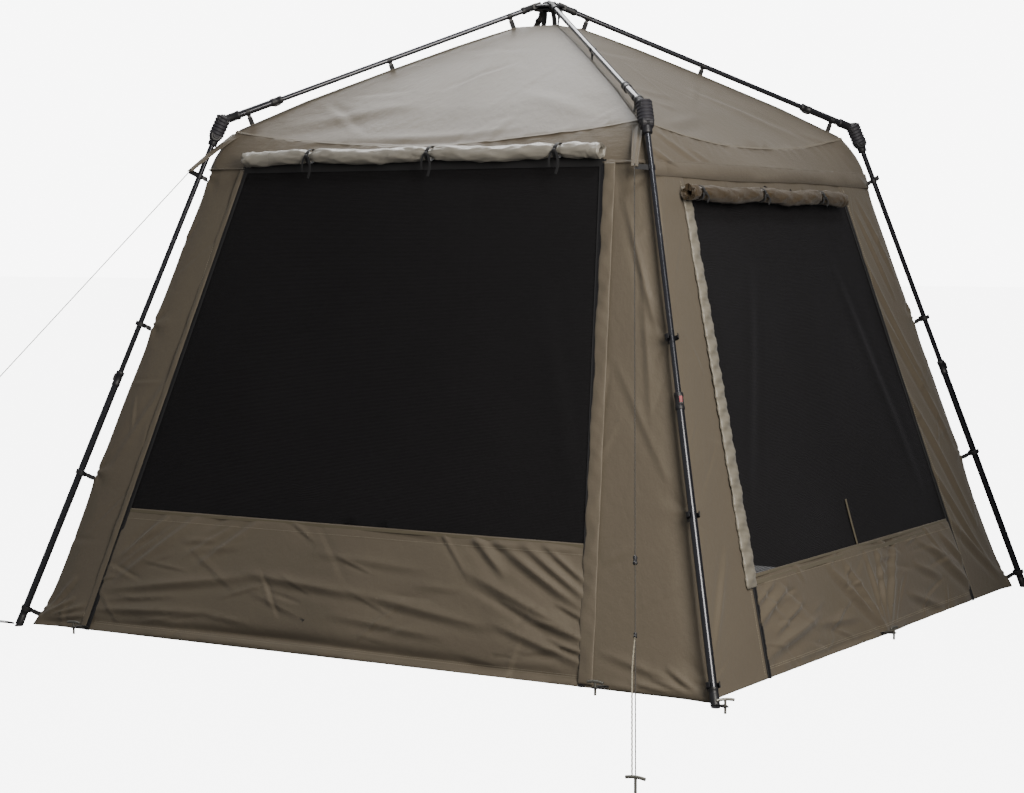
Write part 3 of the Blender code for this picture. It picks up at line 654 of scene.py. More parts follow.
def to_side(points, side):
    """Points of a side's own frame, where the side faces -Y, at their place on the tent."""
    turn = Matrix.Rotation(pi / 2 * SIDES[side], 3, "Z")
    return np.asarray(points) @ np.array(turn).T + np.array(MIDDLE)


def wall_t(z):
    """How far a wall stands from the middle at a height."""
    return WALL_FOOT_T - WALL_LEAN * z


def on_wall(s, z, out):
    """Points near a side's wall plane, this far outside its inner face."""
    return np.stack([s, -wall_t(z) - out * cos(WALL_TILT), z + out * sin(WALL_TILT)], -1)


def edge(side, right, z):
    """Where a wall's opening starts on its left or right, at a height."""
    left_top, right_top, left_foot, right_foot = OPENING[side]
    top, foot = (right_top, right_foot) if right else (left_top, left_foot)
    return foot + (top - foot) * z / TOP_Z[side]


def fold(s, z, start, end, width, height):
    """How far a crease between two points lifts the cloth: a crest with a shallow trough beside it."""
    (s0, z0), (s1, z1) = start, end
    run, rise = s1 - s0, z1 - z0
    length = hypot(run, rise)
    along = ((s - s0) * run + (z - z0) * rise) / length ** 2
    off = ((s - s0) * rise - (z - z0) * run) / length / width
    taper = np.clip(4 * along * (1 - along), 0, 1)
    return height * taper * (np.exp(-np.abs(off) ** 1.4) - 0.55 * np.exp(-((off - 1.5) / 1.1) ** 2))


def folds(s, z, creases):
    """The sum of several creases, each (start, end, width, height)."""
    return sum(fold(s, z, *crease) for crease in creases)


def loose_folds(dice, count, s_range, z_range, length, width, height, slope, spread):
    """Small creases thrown over a panel, running mostly at one slope in radians."""
    made = []
    for _ in range(count):
        s, z = dice.uniform(*s_range), dice.uniform(*z_range)
        turn = slope + dice.normal() * spread
        reach = length * dice.uniform(0.5, 1.4) / 2
        step = (reach * cos(turn), reach * sin(turn))
        lift = height * dice.uniform(0.4, 1.2) * dice.choice((-1, 1, 1))
        made.append(((s - step[0], z - step[1]), (s + step[0], z + step[1]), width * dice.uniform(0.6, 1.5), lift))
    return made


def swell(s, z, dice, size, height):
    """Slow billows of slack cloth: a few crossed waves about this long."""
    total = 0
    for _ in range(5):
        turn = dice.uniform(0, pi)
        phase = dice.uniform(0, 2 * pi)
        reach = size * dice.uniform(0.7, 1.5)
        total = total + np.sin((s * cos(turn) + z * sin(turn)) * 2 * pi / reach + phase)
    return height * total / 3


def sewn(u, v, firm_sides=0.04, firm_ends=0.04):
    """How free the cloth is: none at its sewn edges, fully free a little inside them."""
    across = np.clip(np.minimum(u, 1 - u) / firm_sides, 0, 1)
    down = np.clip(np.minimum(v, 1 - v) / firm_ends, 0, 1)
    return np.sqrt(across * down)


def cloth_object(name, points, skin, size, thickness=CLOTH_THICKNESS, closed=False):
    """A sheet of cloth from rows of points, with a UV map in metres and its real thickness."""
    down, across = points.shape[:2]
    data = bpy.data.meshes.new(name)
    data.from_pydata(points.reshape(-1, 3).tolist(), [], quads(down, across, closed))
    width, length = size
    uv = data.uv_layers.new(name="UVMap")
    corner = np.empty(len(data.loops), int)
    data.loops.foreach_get("vertex_index", corner)
    u = (corner % across) / (across - 1) * width
    v = (corner // across) / (down - 1) * length
    uv.data.foreach_set("uv", np.stack([u, v], -1).astype(np.float32).ravel())
    data.shade_smooth()
    data.materials.append(skin)
    made = bpy.data.objects.new(name, data)
    bpy.context.scene.collection.objects.link(made)
    thin = made.modifiers.new("fewer_faces_where_flat", "DECIMATE")
    thin.ratio = FACES_KEPT
    thicken = made.modifiers.new("thickness", "SOLIDIFY")
    thicken.thickness = thickness
    thicken.offset = 0
    return made


def grid(down, across):
    """The shares across and down of a grid of points, as two arrays."""
    return np.meshgrid(np.linspace(0, 1, across), np.linspace(0, 1, down))


# Creases read from the photograph: (start, end, width, height), each point (along the wall, height).
PANEL_CREASES = {
    "front": [((-0.66, 0.42), (-1.00, 0.17), 0.016, 0.012), ((-0.80, 0.41), (-0.99, 0.25), 0.012, 0.011),
              ((-0.74, 0.40), (-1.02, 0.20), 0.010, 0.007), ((-0.40, 0.42), (-0.66, 0.24), 0.014, 0.009),
              ((-0.50, 0.40), (-0.72, 0.27), 0.010, 0.006), ((-1.06, 0.14), (-0.36, 0.24), 0.016, 0.011),
              ((-0.46, 0.245), (0.06, 0.205), 0.015, 0.011), ((-0.04, 0.22), (0.56, 0.145), 0.016, 0.010),
              ((0.42, 0.43), (0.58, 0.30), 0.014, 0.010), ((0.50, 0.42), (0.88, 0.22), 0.017, 0.014),
              ((0.60, 0.42), (0.89, 0.25), 0.014, 0.013), ((0.40, 0.32), (0.90, 0.14), 0.018, 0.012),
              ((0.68, 0.42), (0.89, 0.29), 0.011, 0.010), ((0.55, 0.24), (0.91, 0.11), 0.013, 0.010),
              ((0.52, 0.17), (0.92, 0.06), 0.014, 0.010), ((0.70, 0.19), (0.91, 0.13), 0.009, 0.009),
              ((0.74, 0.14), (0.92, 0.085), 0.008, 0.009), ((0.75, 0.245), (0.90, 0.19), 0.008, 0.008),
              ((-0.20, 0.33), (0.30, 0.30), 0.014, 0.005), ((-0.10, 0.14), (0.40, 0.10), 0.014, 0.007),
              ((-1.09, 0.075), (-0.55, 0.105), 0.012, 0.010), ((-1.04, 0.11), (-0.70, 0.15), 0.010, 0.007)],
    "right": [((-0.30, 0.29), (0.03, 0.01), 0.016, 0.013), ((-0.17, 0.29), (0.03, 0.01), 0.015, 0.012),
              ((0.15, 0.30), (0.04, 0.01), 0.015, 0.011), ((0.33, 0.30), (0.05, 0.01), 0.018, 0.013),
              ((0.03, 0.30), (0.03, 0.02), 0.014, 0.009), ((-0.90, 0.16), (-0.60, 0.26), 0.016, 0.013),
              ((-0.90, 0.06), (-0.46, 0.12), 0.017, 0.012), ((-0.86, 0.08), (-0.40, 0.14), 0.013, 0.010),
              ((-0.50, 0.11), (-0.14, 0.085), 0.014, 0.009), ((-0.80, 0.12), (-0.52, 0.20), 0.012, 0.010),
              ((-0.88, 0.22), (-0.70, 0.28), 0.012, 0.009), ((0.60, 0.24), (0.95, 0.04), 0.018, 0.013),
              ((0.72, 0.28), (0.93, 0.12), 0.014, 0.011), ((0.30, 0.11), (0.62, 0.02), 0.015, 0.011),
              ((0.42, 0.20), (0.66, 0.12), 0.014, 0.009), ((0.50, 0.27), (0.78, 0.17), 0.012, 0.008)],
    "back": [((-0.85, 0.05), (-0.20, 0.22), 0.020, 0.013), ((0.85, 0.05), (0.15, 0.20), 0.020, 0.013),
             ((-0.60, 0.28), (-0.88, 0.10), 0.014, 0.010), ((-0.30, 0.04), (0.35, 0.09), 0.016, 0.010),
             ((0.50, 0.29), (0.86, 0.12), 0.014, 0.010), ((-0.40, 0.25), (0.20, 0.20), 0.016, 0.007)],
    "left": [((-0.85, 0.06), (-0.10, 0.20), 0.020, 0.013), ((0.86, 0.05), (0.25, 0.22), 0.020, 0.013),
             ((-0.10, 0.05), (0.50, 0.07), 0.014, 0.010), ((-0.55, 0.29), (-0.87, 0.13), 0.014, 0.010),
             ((0.55, 0.28), (0.88, 0.14), 0.013, 0.009), ((-0.30, 0.27), (0.30, 0.16), 0.018, 0.008)],
}
# The hem between two pegs tucks under in one long groove: (start, end, width, depth).
HEM_GROOVE = {
    "front": [((-1.25, 0.030), (0.0, 0.052), 0.016, 0.016), ((-0.75, 0.050), (1.0, 0.026), 0.018, 0.020)],
    "right": [((-0.80, 0.015), (0.0, 0.020), 0.010, 0.006)],
    "back": [((-0.90, 0.020), (0.90, 0.024), 0.012, 0.010)],
    "left": [((-0.90, 0.024), (0.90, 0.020), 0.012, 0.010)],
}
PEG_PULL_S = 0.0
PEG_PULL = 0.022
LOOSE_CREASES = 46
for side in SIDES:
    dice = np.random.RandomState(11 + SIDES[side])
    sill = SILL_Z[side]
    width = edge(side, True, HEM_Z) - edge(side, False, HEM_Z)
    u, v = grid(81, 301)
    z = sill + 0.5 * SEAM_OVERLAP + (HEM_Z - sill - 0.5 * SEAM_OVERLAP) * v
    left, right = edge(side, False, z) - SEAM_OVERLAP, edge(side, True, z) + SEAM_OVERLAP
    s = left + (right - left) * u
    small = loose_folds(dice, LOOSE_CREASES, (left.min(), right.max()), (HEM_Z, sill), 0.22, 0.009, 0.0045, 0, 0.45)
    free = sewn(u, v, 0.015, 0.05)
    out = free * (folds(s, z, PANEL_CREASES[side] + small) + swell(s, z, dice, 0.5, 0.004) + 0.006 * np.sin(pi * v))
    out = out - folds(s, z, HEM_GROOVE[side]) + 0.0025 * np.sin(s * 37 + 2 * np.sin(s * 9)) * np.clip(1 - z / 0.05, 0, 1)
    if side == "right":
        out = out + PEG_PULL * np.exp(-np.abs((s - PEG_PULL_S) / 0.20) ** 1.3) * np.clip(1 - z / 0.28, 0, 1) ** 1.6
    lower = cloth_object("lower_cloth_" + side, to_side(on_wall(s, z, CLOTH_MIDDLE + out), side), WALL_SKIN,
                         (width, sill))
    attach(lower, "gazebo")
    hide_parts("lower_panel_" + side)


# ---- Corner columns.
# One length of the same polyester wraps each corner from the ground to the roof's edge. Webbing
# tabs draw it out to the leg at four heights, so it creases towards them and bows in between.
LEG_RING_Z = (1.582, 1.06, 0.538, 0.062)
CORNER_ROUND = 0.035
COLUMN_CREASES = {
    "front_right": [((-0.36, 0.020), (0.01, -0.005), 0.010, 0.014), ((-0.26, 0.034), (0.00, 0.005), 0.010, 0.017),
                    ((-0.19, 0.052), (0.00, 0.010), 0.010, 0.012), ((-0.13, 0.090), (-0.01, 0.015), 0.011, 0.010),
                    ((-0.36, 0.115), (-0.05, 0.035), 0.014, 0.006), ((0.24, 0.42), (0.06, 0.10), 0.018, 0.006),
                    ((-0.10, 1.50), (-0.03, 1.05), 0.014, 0.006), ((-0.06, 1.30), (-0.09, 0.75), 0.014, 0.004),
                    ((0.05, 1.50), (0.02, 1.15), 0.012, 0.006), ((-0.20, 1.00), (-0.04, 0.60), 0.016, 0.004)],
    "back_right": [((-0.33, 1.35), (-0.10, 0.75), 0.016, 0.010), ((-0.30, 1.10), (-0.06, 0.55), 0.018, 0.011),
                   ((-0.37, 0.86), (-0.08, 0.22), 0.018, 0.012), ((-0.40, 0.56), (-0.10, 0.10), 0.016, 0.011),
                   ((-0.38, 0.33), (-0.05, 0.05), 0.018, 0.013), ((-0.24, 1.48), (-0.12, 1.12), 0.012, 0.008),
                   ((-0.18, 1.52), (-0.04, 1.20), 0.014, 0.008)],
    "back_left": [((-0.30, 0.90), (-0.05, 0.55), 0.020, 0.009), ((0.30, 0.95), (0.05, 0.55), 0.020, 0.009),
                  ((-0.34, 0.25), (-0.03, 0.04), 0.014, 0.011), ((0.34, 0.22), (0.03, 0.04), 0.014, 0.011)],
    "front_left": [((0.00, 0.030), (0.13, 0.105), 0.009, 0.012), ((0.00, 0.025), (0.19, 0.085), 0.009, 0.013),
                   ((0.00, 0.020), (0.22, 0.055), 0.009, 0.012), ((0.02, 0.06), (0.10, 0.18), 0.012, 0.008),
                   ((0.20, 0.95), (0.06, 0.55), 0.018, 0.005)],
}
for corner, k in CORNERS.items():
    dice = np.random.RandomState(31 + k)
    before, after = SIDE_NAMES[k], SIDE_NAMES[(k + 1) % 4]
    u, v = grid(261, 129)
    z = SEAM_Z + (HEM_Z - SEAM_Z) * v
    t = wall_t(z)
    ahead = t - edge(before, True, z)
    behind = edge(after, False, z) + t
    path = -ahead + (ahead + behind) * u
    reach = np.abs(path)
    x = np.where(path < 0, t - reach, t)
    y = np.where(path < 0, -t, -t + reach)
    pull = sum(np.exp(-((z - ring_z) / 0.05) ** 2) for ring_z in LEG_RING_Z)
    diagonal = np.exp(-(reach / 0.045) ** 2) * (0.004 * pull - 0.30 * CORNER_ROUND)
    tip = 0.030 * np.exp(-(reach / 0.05) ** 2) * np.clip((0.12 - z) / 0.12, 0, 1) ** 2
    small = loose_folds(dice, 34, (-0.42, 0.42), (HEM_Z, SEAM_Z), 0.20, 0.010, 0.0026, 1.1, 0.7)
    free = sewn(u, v, 0.05, 0.015)
    out = free * (folds(path, z, COLUMN_CREASES[corner] + small) + swell(path, z, dice, 0.7, 0.004))
    star = sum(0.0025 * np.cos(5 * np.arctan2(z - ring_z, reach + 0.01)) * np.exp(-(np.hypot(z - ring_z, reach) / 0.10) ** 2)
               for ring_z in LEG_RING_Z)
    out = out + free * star + CLOTH_MIDDLE
    blend = np.clip(0.5 + path / (2 * CORNER_ROUND), 0, 1)
    nx, ny = np.sin(blend * pi / 2), -np.cos(blend * pi / 2)
    shift = (diagonal + tip) / sqrt(2)
    points = np.stack([x + nx * out * cos(WALL_TILT) + shift, y + ny * out * cos(WALL_TILT) - shift,
                       z + out * sin(WALL_TILT)], -1)
    width = float((ahead + behind)[-1, 0])
    column = cloth_object("corner_cloth_" + corner, to_side(points, before), WALL_SKIN, (width, SEAM_Z))
    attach(column, "gazebo")
    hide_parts("wall_corner_" + corner)


# ---- Canopy: the four roof gores, the peak and the eave band, one continuous sheet.
# The same coated polyester, sewn along the four ridges and the eave. It hangs from the poles by
# tabs on the ridges, sags between them, and the steep band below the eave bulges at the corners.
PEAK_T = 0.08
EAVE_T = 0.81
EAVE_Z = 1.736
EAVE_SAG = 0.062
BAND_BULGE = 0.009
RIDGE_T = (0.0, PEAK_T, 0.247, 0.411, 0.63, EAVE_T)
RIDGE_Z = (2.132, 2.130, 2.050, 1.965, 1.847, EAVE_Z)
ROOF_RING_T = (0.105, 0.42, 0.782)
PEAK_TOP = RIDGE_Z[1] + 0.002
# The roof's copy of the wall polyester is coloured a little lighter than the walls' copy: painted light from above on
# the same cloth.
ROOF_SKIN_PAINTED_LIGHTER = coated_cloth("olive_coated_polyester_roof_painted_lighter", "#5F574A", "#6A6153", 0.52, 0.0016)
GORE_CREASES = {
    "front": [((-0.70, -0.78), (-0.15, -0.60), 0.030, 0.006), ((0.68, -0.78), (0.20, -0.55), 0.030, 0.006),
              ((-0.42, -0.79), (0.38, -0.76), 0.020, 0.005), ((-0.05, -0.20), (0.02, -0.70), 0.05, 0.005)],
    "right": [((-0.70, -0.76), (-0.30, -0.45), 0.022, 0.008), ((-0.60, -0.79), (-0.10, -0.66), 0.020, 0.007),
              ((0.55, -0.79), (0.10, -0.50), 0.026, 0.006)],
    "back": [((-0.60, -0.78), (-0.15, -0.55), 0.028, 0.007), ((0.60, -0.78), (0.20, -0.55), 0.028, 0.006)],
    "left": [((-0.62, -0.78), (-0.12, -0.60), 0.026, 0.006), ((0.60, -0.78), (0.18, -0.60), 0.030, 0.007)],
}
BAND_CREASES = {"right": [((-0.90, 1.685), (-0.70, 1.57), 0.010, 0.016), ((-0.85, 1.655), (-0.62, 1.55), 0.009, 0.014),
                          ((-0.78, 1.72), (-0.50, 1.60), 0.012, 0.008),
                          ((-0.55, 1.66), (-0.40, 1.60), 0.010, 0.004), ((0.70, 1.70), (0.80, 1.61), 0.012, 0.004)]}
SEAM_WIDTH = 0.010
STITCH_PITCH = 0.008
STITCH_SIZE = (0.0045, 0.0010, 0.0010)
THREAD_SKIN = coated_cloth("bonded_polyester_thread", "#8A8270", "#9C9482", 0.6, 0.0008)
GORE_ACROSS = 104
GORE_DOWN = 78
BAND_DOWN = 30
APRON_DOWN = 12
APRON_DROP = {"front": 0.006, "right": 0.052, "back": 0.006, "left": 0.006}
gores = []
for side in SIDES:
    dice = np.random.RandomState(51 + SIDES[side])
    share, w = grid(GORE_DOWN, GORE_ACROSS + 1)
    v = 2 * share - 1
    t = EAVE_T * w
    ridge = np.interp(t, RIDGE_T, RIDGE_Z)
    past_peak = np.clip((t - PEAK_T) / (EAVE_T - PEAK_T), 0, 1)
    sag = EAVE_SAG * past_peak ** 1.5 * (1 - v * v)
    free = (1 - v ** 6) * np.clip(past_peak / 0.15, 0, 1)
    small = loose_folds(dice, 16, (-0.7, 0.7), (-0.8, -0.2), 0.30, 0.014, 0.003, 0.3, 0.7)
    lift = free * (folds(v * t, -t, GORE_CREASES[side] + small) + swell(v * t, -t, dice, 0.6, 0.003))
    seam = 0.0025 * np.exp(-((1 - np.abs(v)) * t / 0.008) ** 2) * np.clip(past_peak / 0.1, 0, 1)
    roof = np.stack([v * t, -t - 0.4 * lift, ridge - sag + lift + seam + CLOTH_MIDDLE], -1)

    share, w = grid(BAND_DOWN, GORE_ACROSS + 1)
    v = 2 * share - 1
    top_z = EAVE_Z - EAVE_SAG * (1 - v * v)
    foot_t = wall_t(SEAM_Z)
    foot_z = SEAM_Z - 0.004
    t = EAVE_T + (foot_t - EAVE_T) * w + BAND_BULGE * 4 * w * (1 - w) * v * v
    z = top_z + (foot_z - top_z) * w
    small = BAND_CREASES.get(side, []) + loose_folds(dice, 22, (-0.85, 0.85), (SEAM_Z, EAVE_Z), 0.12, 0.010, 0.002, 1.2, 0.8)
    pucker = 0.0022 * np.sin(v * 62 + 2 * np.sin(v * 17)) * (1 - w) ** 2
    out = (1 - v ** 8) * np.clip(w / 0.1, 0, 1) * (folds(v * t, z, small) + swell(v * t, z, dice, 0.3, 0.002)) + pucker
    eave = np.stack([v * t, -t - out - CLOTH_MIDDLE * w, z + CLOTH_MIDDLE * (1 - w)], -1)
    down = np.linspace(0, 1, APRON_DOWN)[1:, None]
    z = foot_z - APRON_DROP[side] * down + 0.003 * down * np.sin(5 * v[:1])
    apron = on_wall(v[:1] * (wall_t(z) + CLOTH_MIDDLE), z, CLOTH_MIDDLE + 0.0022 + 0.0016 * down)
    eave = np.concatenate([eave, apron])
    gores.append(to_side(np.concatenate([roof, eave[1:]]), side)[:, :-1])
canopy = cloth_object("canopy", np.concatenate(gores, axis=1), ROOF_SKIN_PAINTED_LIGHTER, (6.6, 1.35), closed=True)
clean = bmesh.new()
clean.from_mesh(canopy.data)
bmesh.ops.remove_doubles(clean, verts=clean.verts, dist=0.00001)
clean.to_mesh(canopy.data)
clean.free()
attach(canopy, "gazebo")
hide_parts("roof_peak", *("roof_" + side for side in SIDES), *("eave_band_" + side for side in SIDES))
seams, stitch_rows = [], []
for k, side in enumerate(SIDES):
    facing = Vector(to_side([[0, -0.6, 0.8]], side)[0]) - MIDDLE
    eave = np.concatenate([gores[k][GORE_DOWN - 1], gores[(k + 1) % 4][GORE_DOWN - 1][:1]])
    ridge = gores[k][8:GORE_DOWN - 1, 0]
    corner_out = Vector(to_side([[-0.5, -0.5, 0.7]], side)[0]) - MIDDLE
    for line, out in ((eave, facing), (ridge, corner_out)):
        across = Vector(line[-1] - line[0]).cross(out).normalized()
        seams.append(swept(line + np.array(out) * 0.0008, band(SEAM_WIDTH, 0.0014), across))
        for step in (-0.3, 0.3):
            stitch_rows.append((line + np.array(across) * step * SEAM_WIDTH + np.array(out) * 0.0016, tuple(out)))
part("canopy_seams", seams, ROOF_SKIN_PAINTED_LIGHTER)
repeated("canopy_stitches", stitch_rows, STITCH_PITCH, STITCH_SIZE, THREAD_SKIN)


# ---- Mesh screens of the door and the three windows.
# Black knitted insect mesh, sewn in tight. It lets a little light by, so the far corners of the
# tent show faintly through it.
def insect_mesh(name, colour, light, spacing):
    """Knitted polyester mesh: black, dull, and see-through between its threads. The threads are drawn
    wider apart than the real ones, which are too fine to show."""
    skin = bpy.data.materials.new(name)
    skin.use_nodes = True
    tree = skin.node_tree
    shader = tree.nodes["Principled BSDF"]
    coords = add(tree, "ShaderNodeTexCoord")
    patch = add(tree, "ShaderNodeTexNoise", {"Vector": coords.outputs["Object"], "Scale": 3.0, "Detail": 4.0})
    tone = add(tree, "ShaderNodeMix", {"Factor": patch.outputs["Fac"], "A": linear(colour), "B": linear(light)},
               data_type="RGBA")
    tree.links.new(tone.outputs["Result"], shader.inputs["Base Color"])
    scale = 1 / spacing / 6.2832
    warp = add(tree, "ShaderNodeTexWave", {"Vector": coords.outputs["UV"], "Scale": scale}, bands_direction="X")
    weft = add(tree, "ShaderNodeTexWave", {"Vector": coords.outputs["UV"], "Scale": scale}, bands_direction="Y")
    knit = add(tree, "ShaderNodeMath", {0: warp.outputs["Fac"], 1: weft.outputs["Fac"]}, operation="MAXIMUM")
    cover = add(tree, "ShaderNodeMapRange", {"Value": knit.outputs[0], "To Min": 0.72, "To Max": 0.98})
    tree.links.new(cover.outputs["Result"], shader.inputs["Alpha"])
    bump = add(tree, "ShaderNodeBump", {"Height": knit.outputs[0], "Distance": 0.0003, "Strength": 0.4})
    tree.links.new(bump.outputs["Normal"], shader.inputs["Normal"])
    shader.inputs["Roughness"].default_value = 0.85
    shader.inputs["Specular IOR Level"].default_value = 0.25
    shader.inputs["Sheen Weight"].default_value = 0.22
    shader.inputs["Sheen Roughness"].default_value = 0.35
    shader.inputs["Sheen Tint"].default_value = linear("#C8C8D4")
    return skin


MESH_SKIN = insect_mesh("black_knitted_insect_mesh", "#100F11", "#171618", 0.0022)
MESH_CREASES = {
    "front": [((-0.95, 0.60), (-0.62, 1.35), 0.03, 0.004), ((0.80, 0.50), (0.55, 1.2), 0.03, 0.004)],
    "right": [((-0.75, 0.50), (-0.30, 1.30), 0.03, 0.004), ((0.70, 0.40), (0.35, 1.3), 0.03, 0.004)],
    "back": [((-0.60, 0.45), (-0.20, 1.30), 0.03, 0.004)],
    "left": [((0.60, 0.45), (0.20, 1.30), 0.03, 0.004)],
}
for side in SIDES:
    dice = np.random.RandomState(71 + SIDES[side])
    sill, top = SILL_Z[side], TOP_Z[side]
    u, v = grid(81, 81)
    z = top + (sill - 0.5 * SEAM_OVERLAP - top) * v
    left, right = edge(side, False, z) - SEAM_OVERLAP, edge(side, True, z) + SEAM_OVERLAP
    s = left + (right - left) * u
    out = sewn(u, v, 0.06, 0.06) * (folds(s, z, MESH_CREASES[side]) + swell(s, z, dice, 0.8, 0.003))
    width = float(right[-1, 0] - left[-1, 0])
    screen = cloth_object("mesh_screen_" + side, to_side(on_wall(s, z, 0.001 + out), side), MESH_SKIN,
                          (width, top - sill), 0.0004)
    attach(screen, "gazebo")
    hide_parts("mesh_" + side)


# ---- Closed covers of the back and the left window, and the strips above three windows.
# Rectangles of the wall cloth with a zip on each side, closed over the mesh on the sides that the
# photograph doesn't show. The strip above each window carries the cover's top seam.
COVER_GAP = 0.0065
HEADER_DROP = {"front": 0.0, "right": 0.045, "back": 0.0, "left": 0.0}
for side in ("back", "left"):
    dice = np.random.RandomState(91 + SIDES[side])
    sill, top = SILL_Z[side] - 0.02, TOP_Z[side] + 0.02
    u, v = grid(121, 121)
    z = top + (sill - top) * v
    left, right = edge(side, False, z) - 0.02, edge(side, True, z) + 0.02
    s = left + (right - left) * u
    small = loose_folds(dice, 30, (-0.8, 0.8), (sill, top), 0.3, 0.012, 0.004, 1.2, 0.6)
    out = sewn(u, v, 0.04, 0.03) * (folds(s, z, small) + swell(s, z, dice, 0.6, 0.005))
    width = float(right[-1, 0] - left[-1, 0])
    cover = cloth_object("window_cloth_" + side, to_side(on_wall(s, z, COVER_GAP + np.maximum(out, -0.002)), side),
                         WALL_SKIN, (width, top - sill))
    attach(cover, "gazebo")
    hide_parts("window_cover_" + side)
for side in ("right", "back", "left"):
    u, v = grid(17, 81)
    z = SEAM_Z + (TOP_Z[side] - HEADER_DROP[side] - SEAM_Z) * v
    left, right = edge(side, False, z) - 0.01, edge(side, True, z) + 0.01
    s = left + (right - left) * u
    header = cloth_object("header_" + side, to_side(on_wall(s, z, CLOTH_MIDDLE + 0.002 * np.sin(s * 30) * v), side),
                          WALL_SKIN, (1.24, SEAM_Z - TOP_Z[side]))
    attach(header, "gazebo")


# ---- Rolled covers of the door and of the right window.
# The outer cloth, rolled up from the bottom into a loose tube that stays hollow at its ends. Its
# waterproof side faces out, so it is glossier than the walls. Ties pinch it, and it sags between.
ROLL_RADIUS = {"front": (0.018, 0.0315), "right": (0.012, 0.0310)}
ROLL_REACH = {"front": (-0.695, 0.725), "right": (-0.735, 0.500)}
ROLL_Z = {"front": 1.642, "right": 1.507}
ROLL_TIES = {"front": (-0.415, 0.075, 0.565), "right": (-0.665, -0.20, 0.290)}
ROLL_PITCH = {"front": 0.0040, "right": 0.0045}
# Both rolls are the same cover cloth. The door's roll is coloured much lighter as a painted highlight on its lit top,
# and the window's roll is coloured darker as painted shade.
ROLL_SKINS = {
    "front": coated_cloth("door_cover_roll_painted_highlight", "#77736A", "#9A968C", 0.26, 0.0016),
    "right": coated_cloth("window_cover_roll_painted_shade", "#3B3122", "#52442F", 0.42, 0.0016),
}
FLAP_SKIN = coated_cloth("proofed_zip_flap", "#716C60", "#878276", 0.42, 0.0016)
WEBBING_SKIN = coated_cloth("black_woven_webbing", "#111113", "#1A1A1D", 0.70, 0.0020)
PALE_WEBBING_SKIN = coated_cloth("olive_woven_webbing", "#56503F", "#6E6653", 0.66, 0.0020)


def side_matrix(side):
    """The place of a side's own frame, where the side faces -Y."""
    return Matrix.Translation(MIDDLE) @ Matrix.Rotation(pi / 2 * SIDES[side], 4, "Z")


for side in ROLL_REACH:
    dice = np.random.RandomState(111 + SIDES[side])
    low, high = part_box("rolled_cover_" + side)
    middle = (low + high) / 2 - MIDDLE
    depth = -middle.y if side == "front" else middle.x
    core, rim = ROLL_RADIUS[side]
    turns = (rim - core) / ROLL_PITCH[side]
    start, end = ROLL_REACH[side]
    u, v = grid(201, int(turns * 32) + 1)
    s = start + (end - start) * v
    angle = u * turns * 2 * pi + 0.6
    radius = core + (rim - core) * u
    pinch = sum(np.exp(-((s - tie) / 0.016) ** 2) for tie in ROLL_TIES[side])
    gather = sum(np.exp(-((s - tie) / 0.060) ** 2) for tie in ROLL_TIES[side])
    crumple = np.zeros_like(s)
    for count in (1, 2, 3, 4, 6, 8):
        for _ in range(3):
            wave = dice.uniform(0.10, 0.45) * dice.choice((-1, 1))
            lobe = np.sin(count * angle + s * 2 * pi / wave + dice.uniform(0, 2 * pi))
            crumple = crumple + dice.uniform(0.3, 1.0) / count ** 0.6 * (1 - 2 * np.abs(lobe) ** 0.8)
    ends = np.clip(1 - np.minimum(s - start, end - s) / 0.11, 0, 1)
    creased = sum(np.sin(n * angle + 9 * np.sin(s * 31 + n) + s * 140) for n in (3, 5)) * ends
    pleats = np.sin(9 * angle + 3 * np.sin(2 * angle) + 40 * (s - start)) * gather
    radius = radius * (1 - 0.40 * pinch - 0.10 * gather + 0.050 * crumple * (1 - 0.5 * pinch) + 0.075 * pleats
                       + 0.055 * creased)
    span = np.abs((s[:, :1] - np.array(ROLL_TIES[side])[None]))
    droop = 0.007 * np.minimum(span.min(axis=1, keepdims=True) / 0.2, 1) ** 2
    y = -depth - radius * np.cos(angle)
    z = ROLL_Z[side] - 1.0 * droop + radius * np.sin(angle) * 0.96
    roll = cloth_object("rolled_cloth_" + side, to_side(np.stack([s, y, z], -1), side), ROLL_SKINS[side],
                        (1.0, end - start), 0.0009)
    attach(roll, "gazebo")
    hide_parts("rolled_cover_" + side)
    shells = []
    for tie in ROLL_TIES[side]:
        loop = [(tie + 0.004 * sin(a), -depth - rim * 0.80 * cos(a), ROLL_Z[side] + rim * 0.78 * sin(a))
                for a in np.linspace(0, 2 * pi, 33)]
        shells.append(swept(loop, band(0.013, 0.0016), (1, 0, 0)))
        drop = 0.075 if side == "front" else 0.03
        tail = [(tie + 0.006 + 0.012 * sin(3 * k), -depth - rim * 0.80 - 0.004 * sin(2.5 * k) - 0.002,
                 ROLL_Z[side] - drop * k) for k in np.linspace(0.05, 1, 14)]
        shells.append(swept(tail, band(0.008, 0.0016), (1, 0, 0)))
        tail = [(tie - 0.008 - 0.010 * sin(2 * k), -depth - rim * 0.82 - 0.003 * sin(3 * k),
                 ROLL_Z[side] - 0.7 * drop * k) for k in np.linspace(0.05, 1, 12)]
        shells.append(swept(tail, band(0.007, 0.0016), (1, 0, 0)))
        knot = Matrix.Translation((tie, -depth - rim * 0.86, ROLL_Z[side]))
        shells.append(turned([(0, -0.007), (0.005, -0.006), (0.0065, 0), (0.005, 0.006), (0, 0.007)],
                             knot @ Matrix.Rotation(pi / 2, 4, "Y"), 14))
    place = side_matrix(side)
    part("roll_ties_" + side, [(moved(points, place), faces) for points, faces in shells], WEBBING_SKIN)


# ---- Zips, flaps and tapes of the walls.
# Coil zips close the door and the windows. A folded flap covers the door's right zip, a bunched
# one the right window's left zip, and a pale tape binds the sill of the window.
ZIP_SKIN = moulded_nylon("black_coil_zip", "#0E0E10", 0.5)
ZIP_SPACING = 0.0045
DOOR_HEAD_Z = 1.604
ZIP_TOOTH = (0.0026, 0.0085, 0.0022)
OUT = Vector((0, -cos(WALL_TILT), sin(WALL_TILT)))


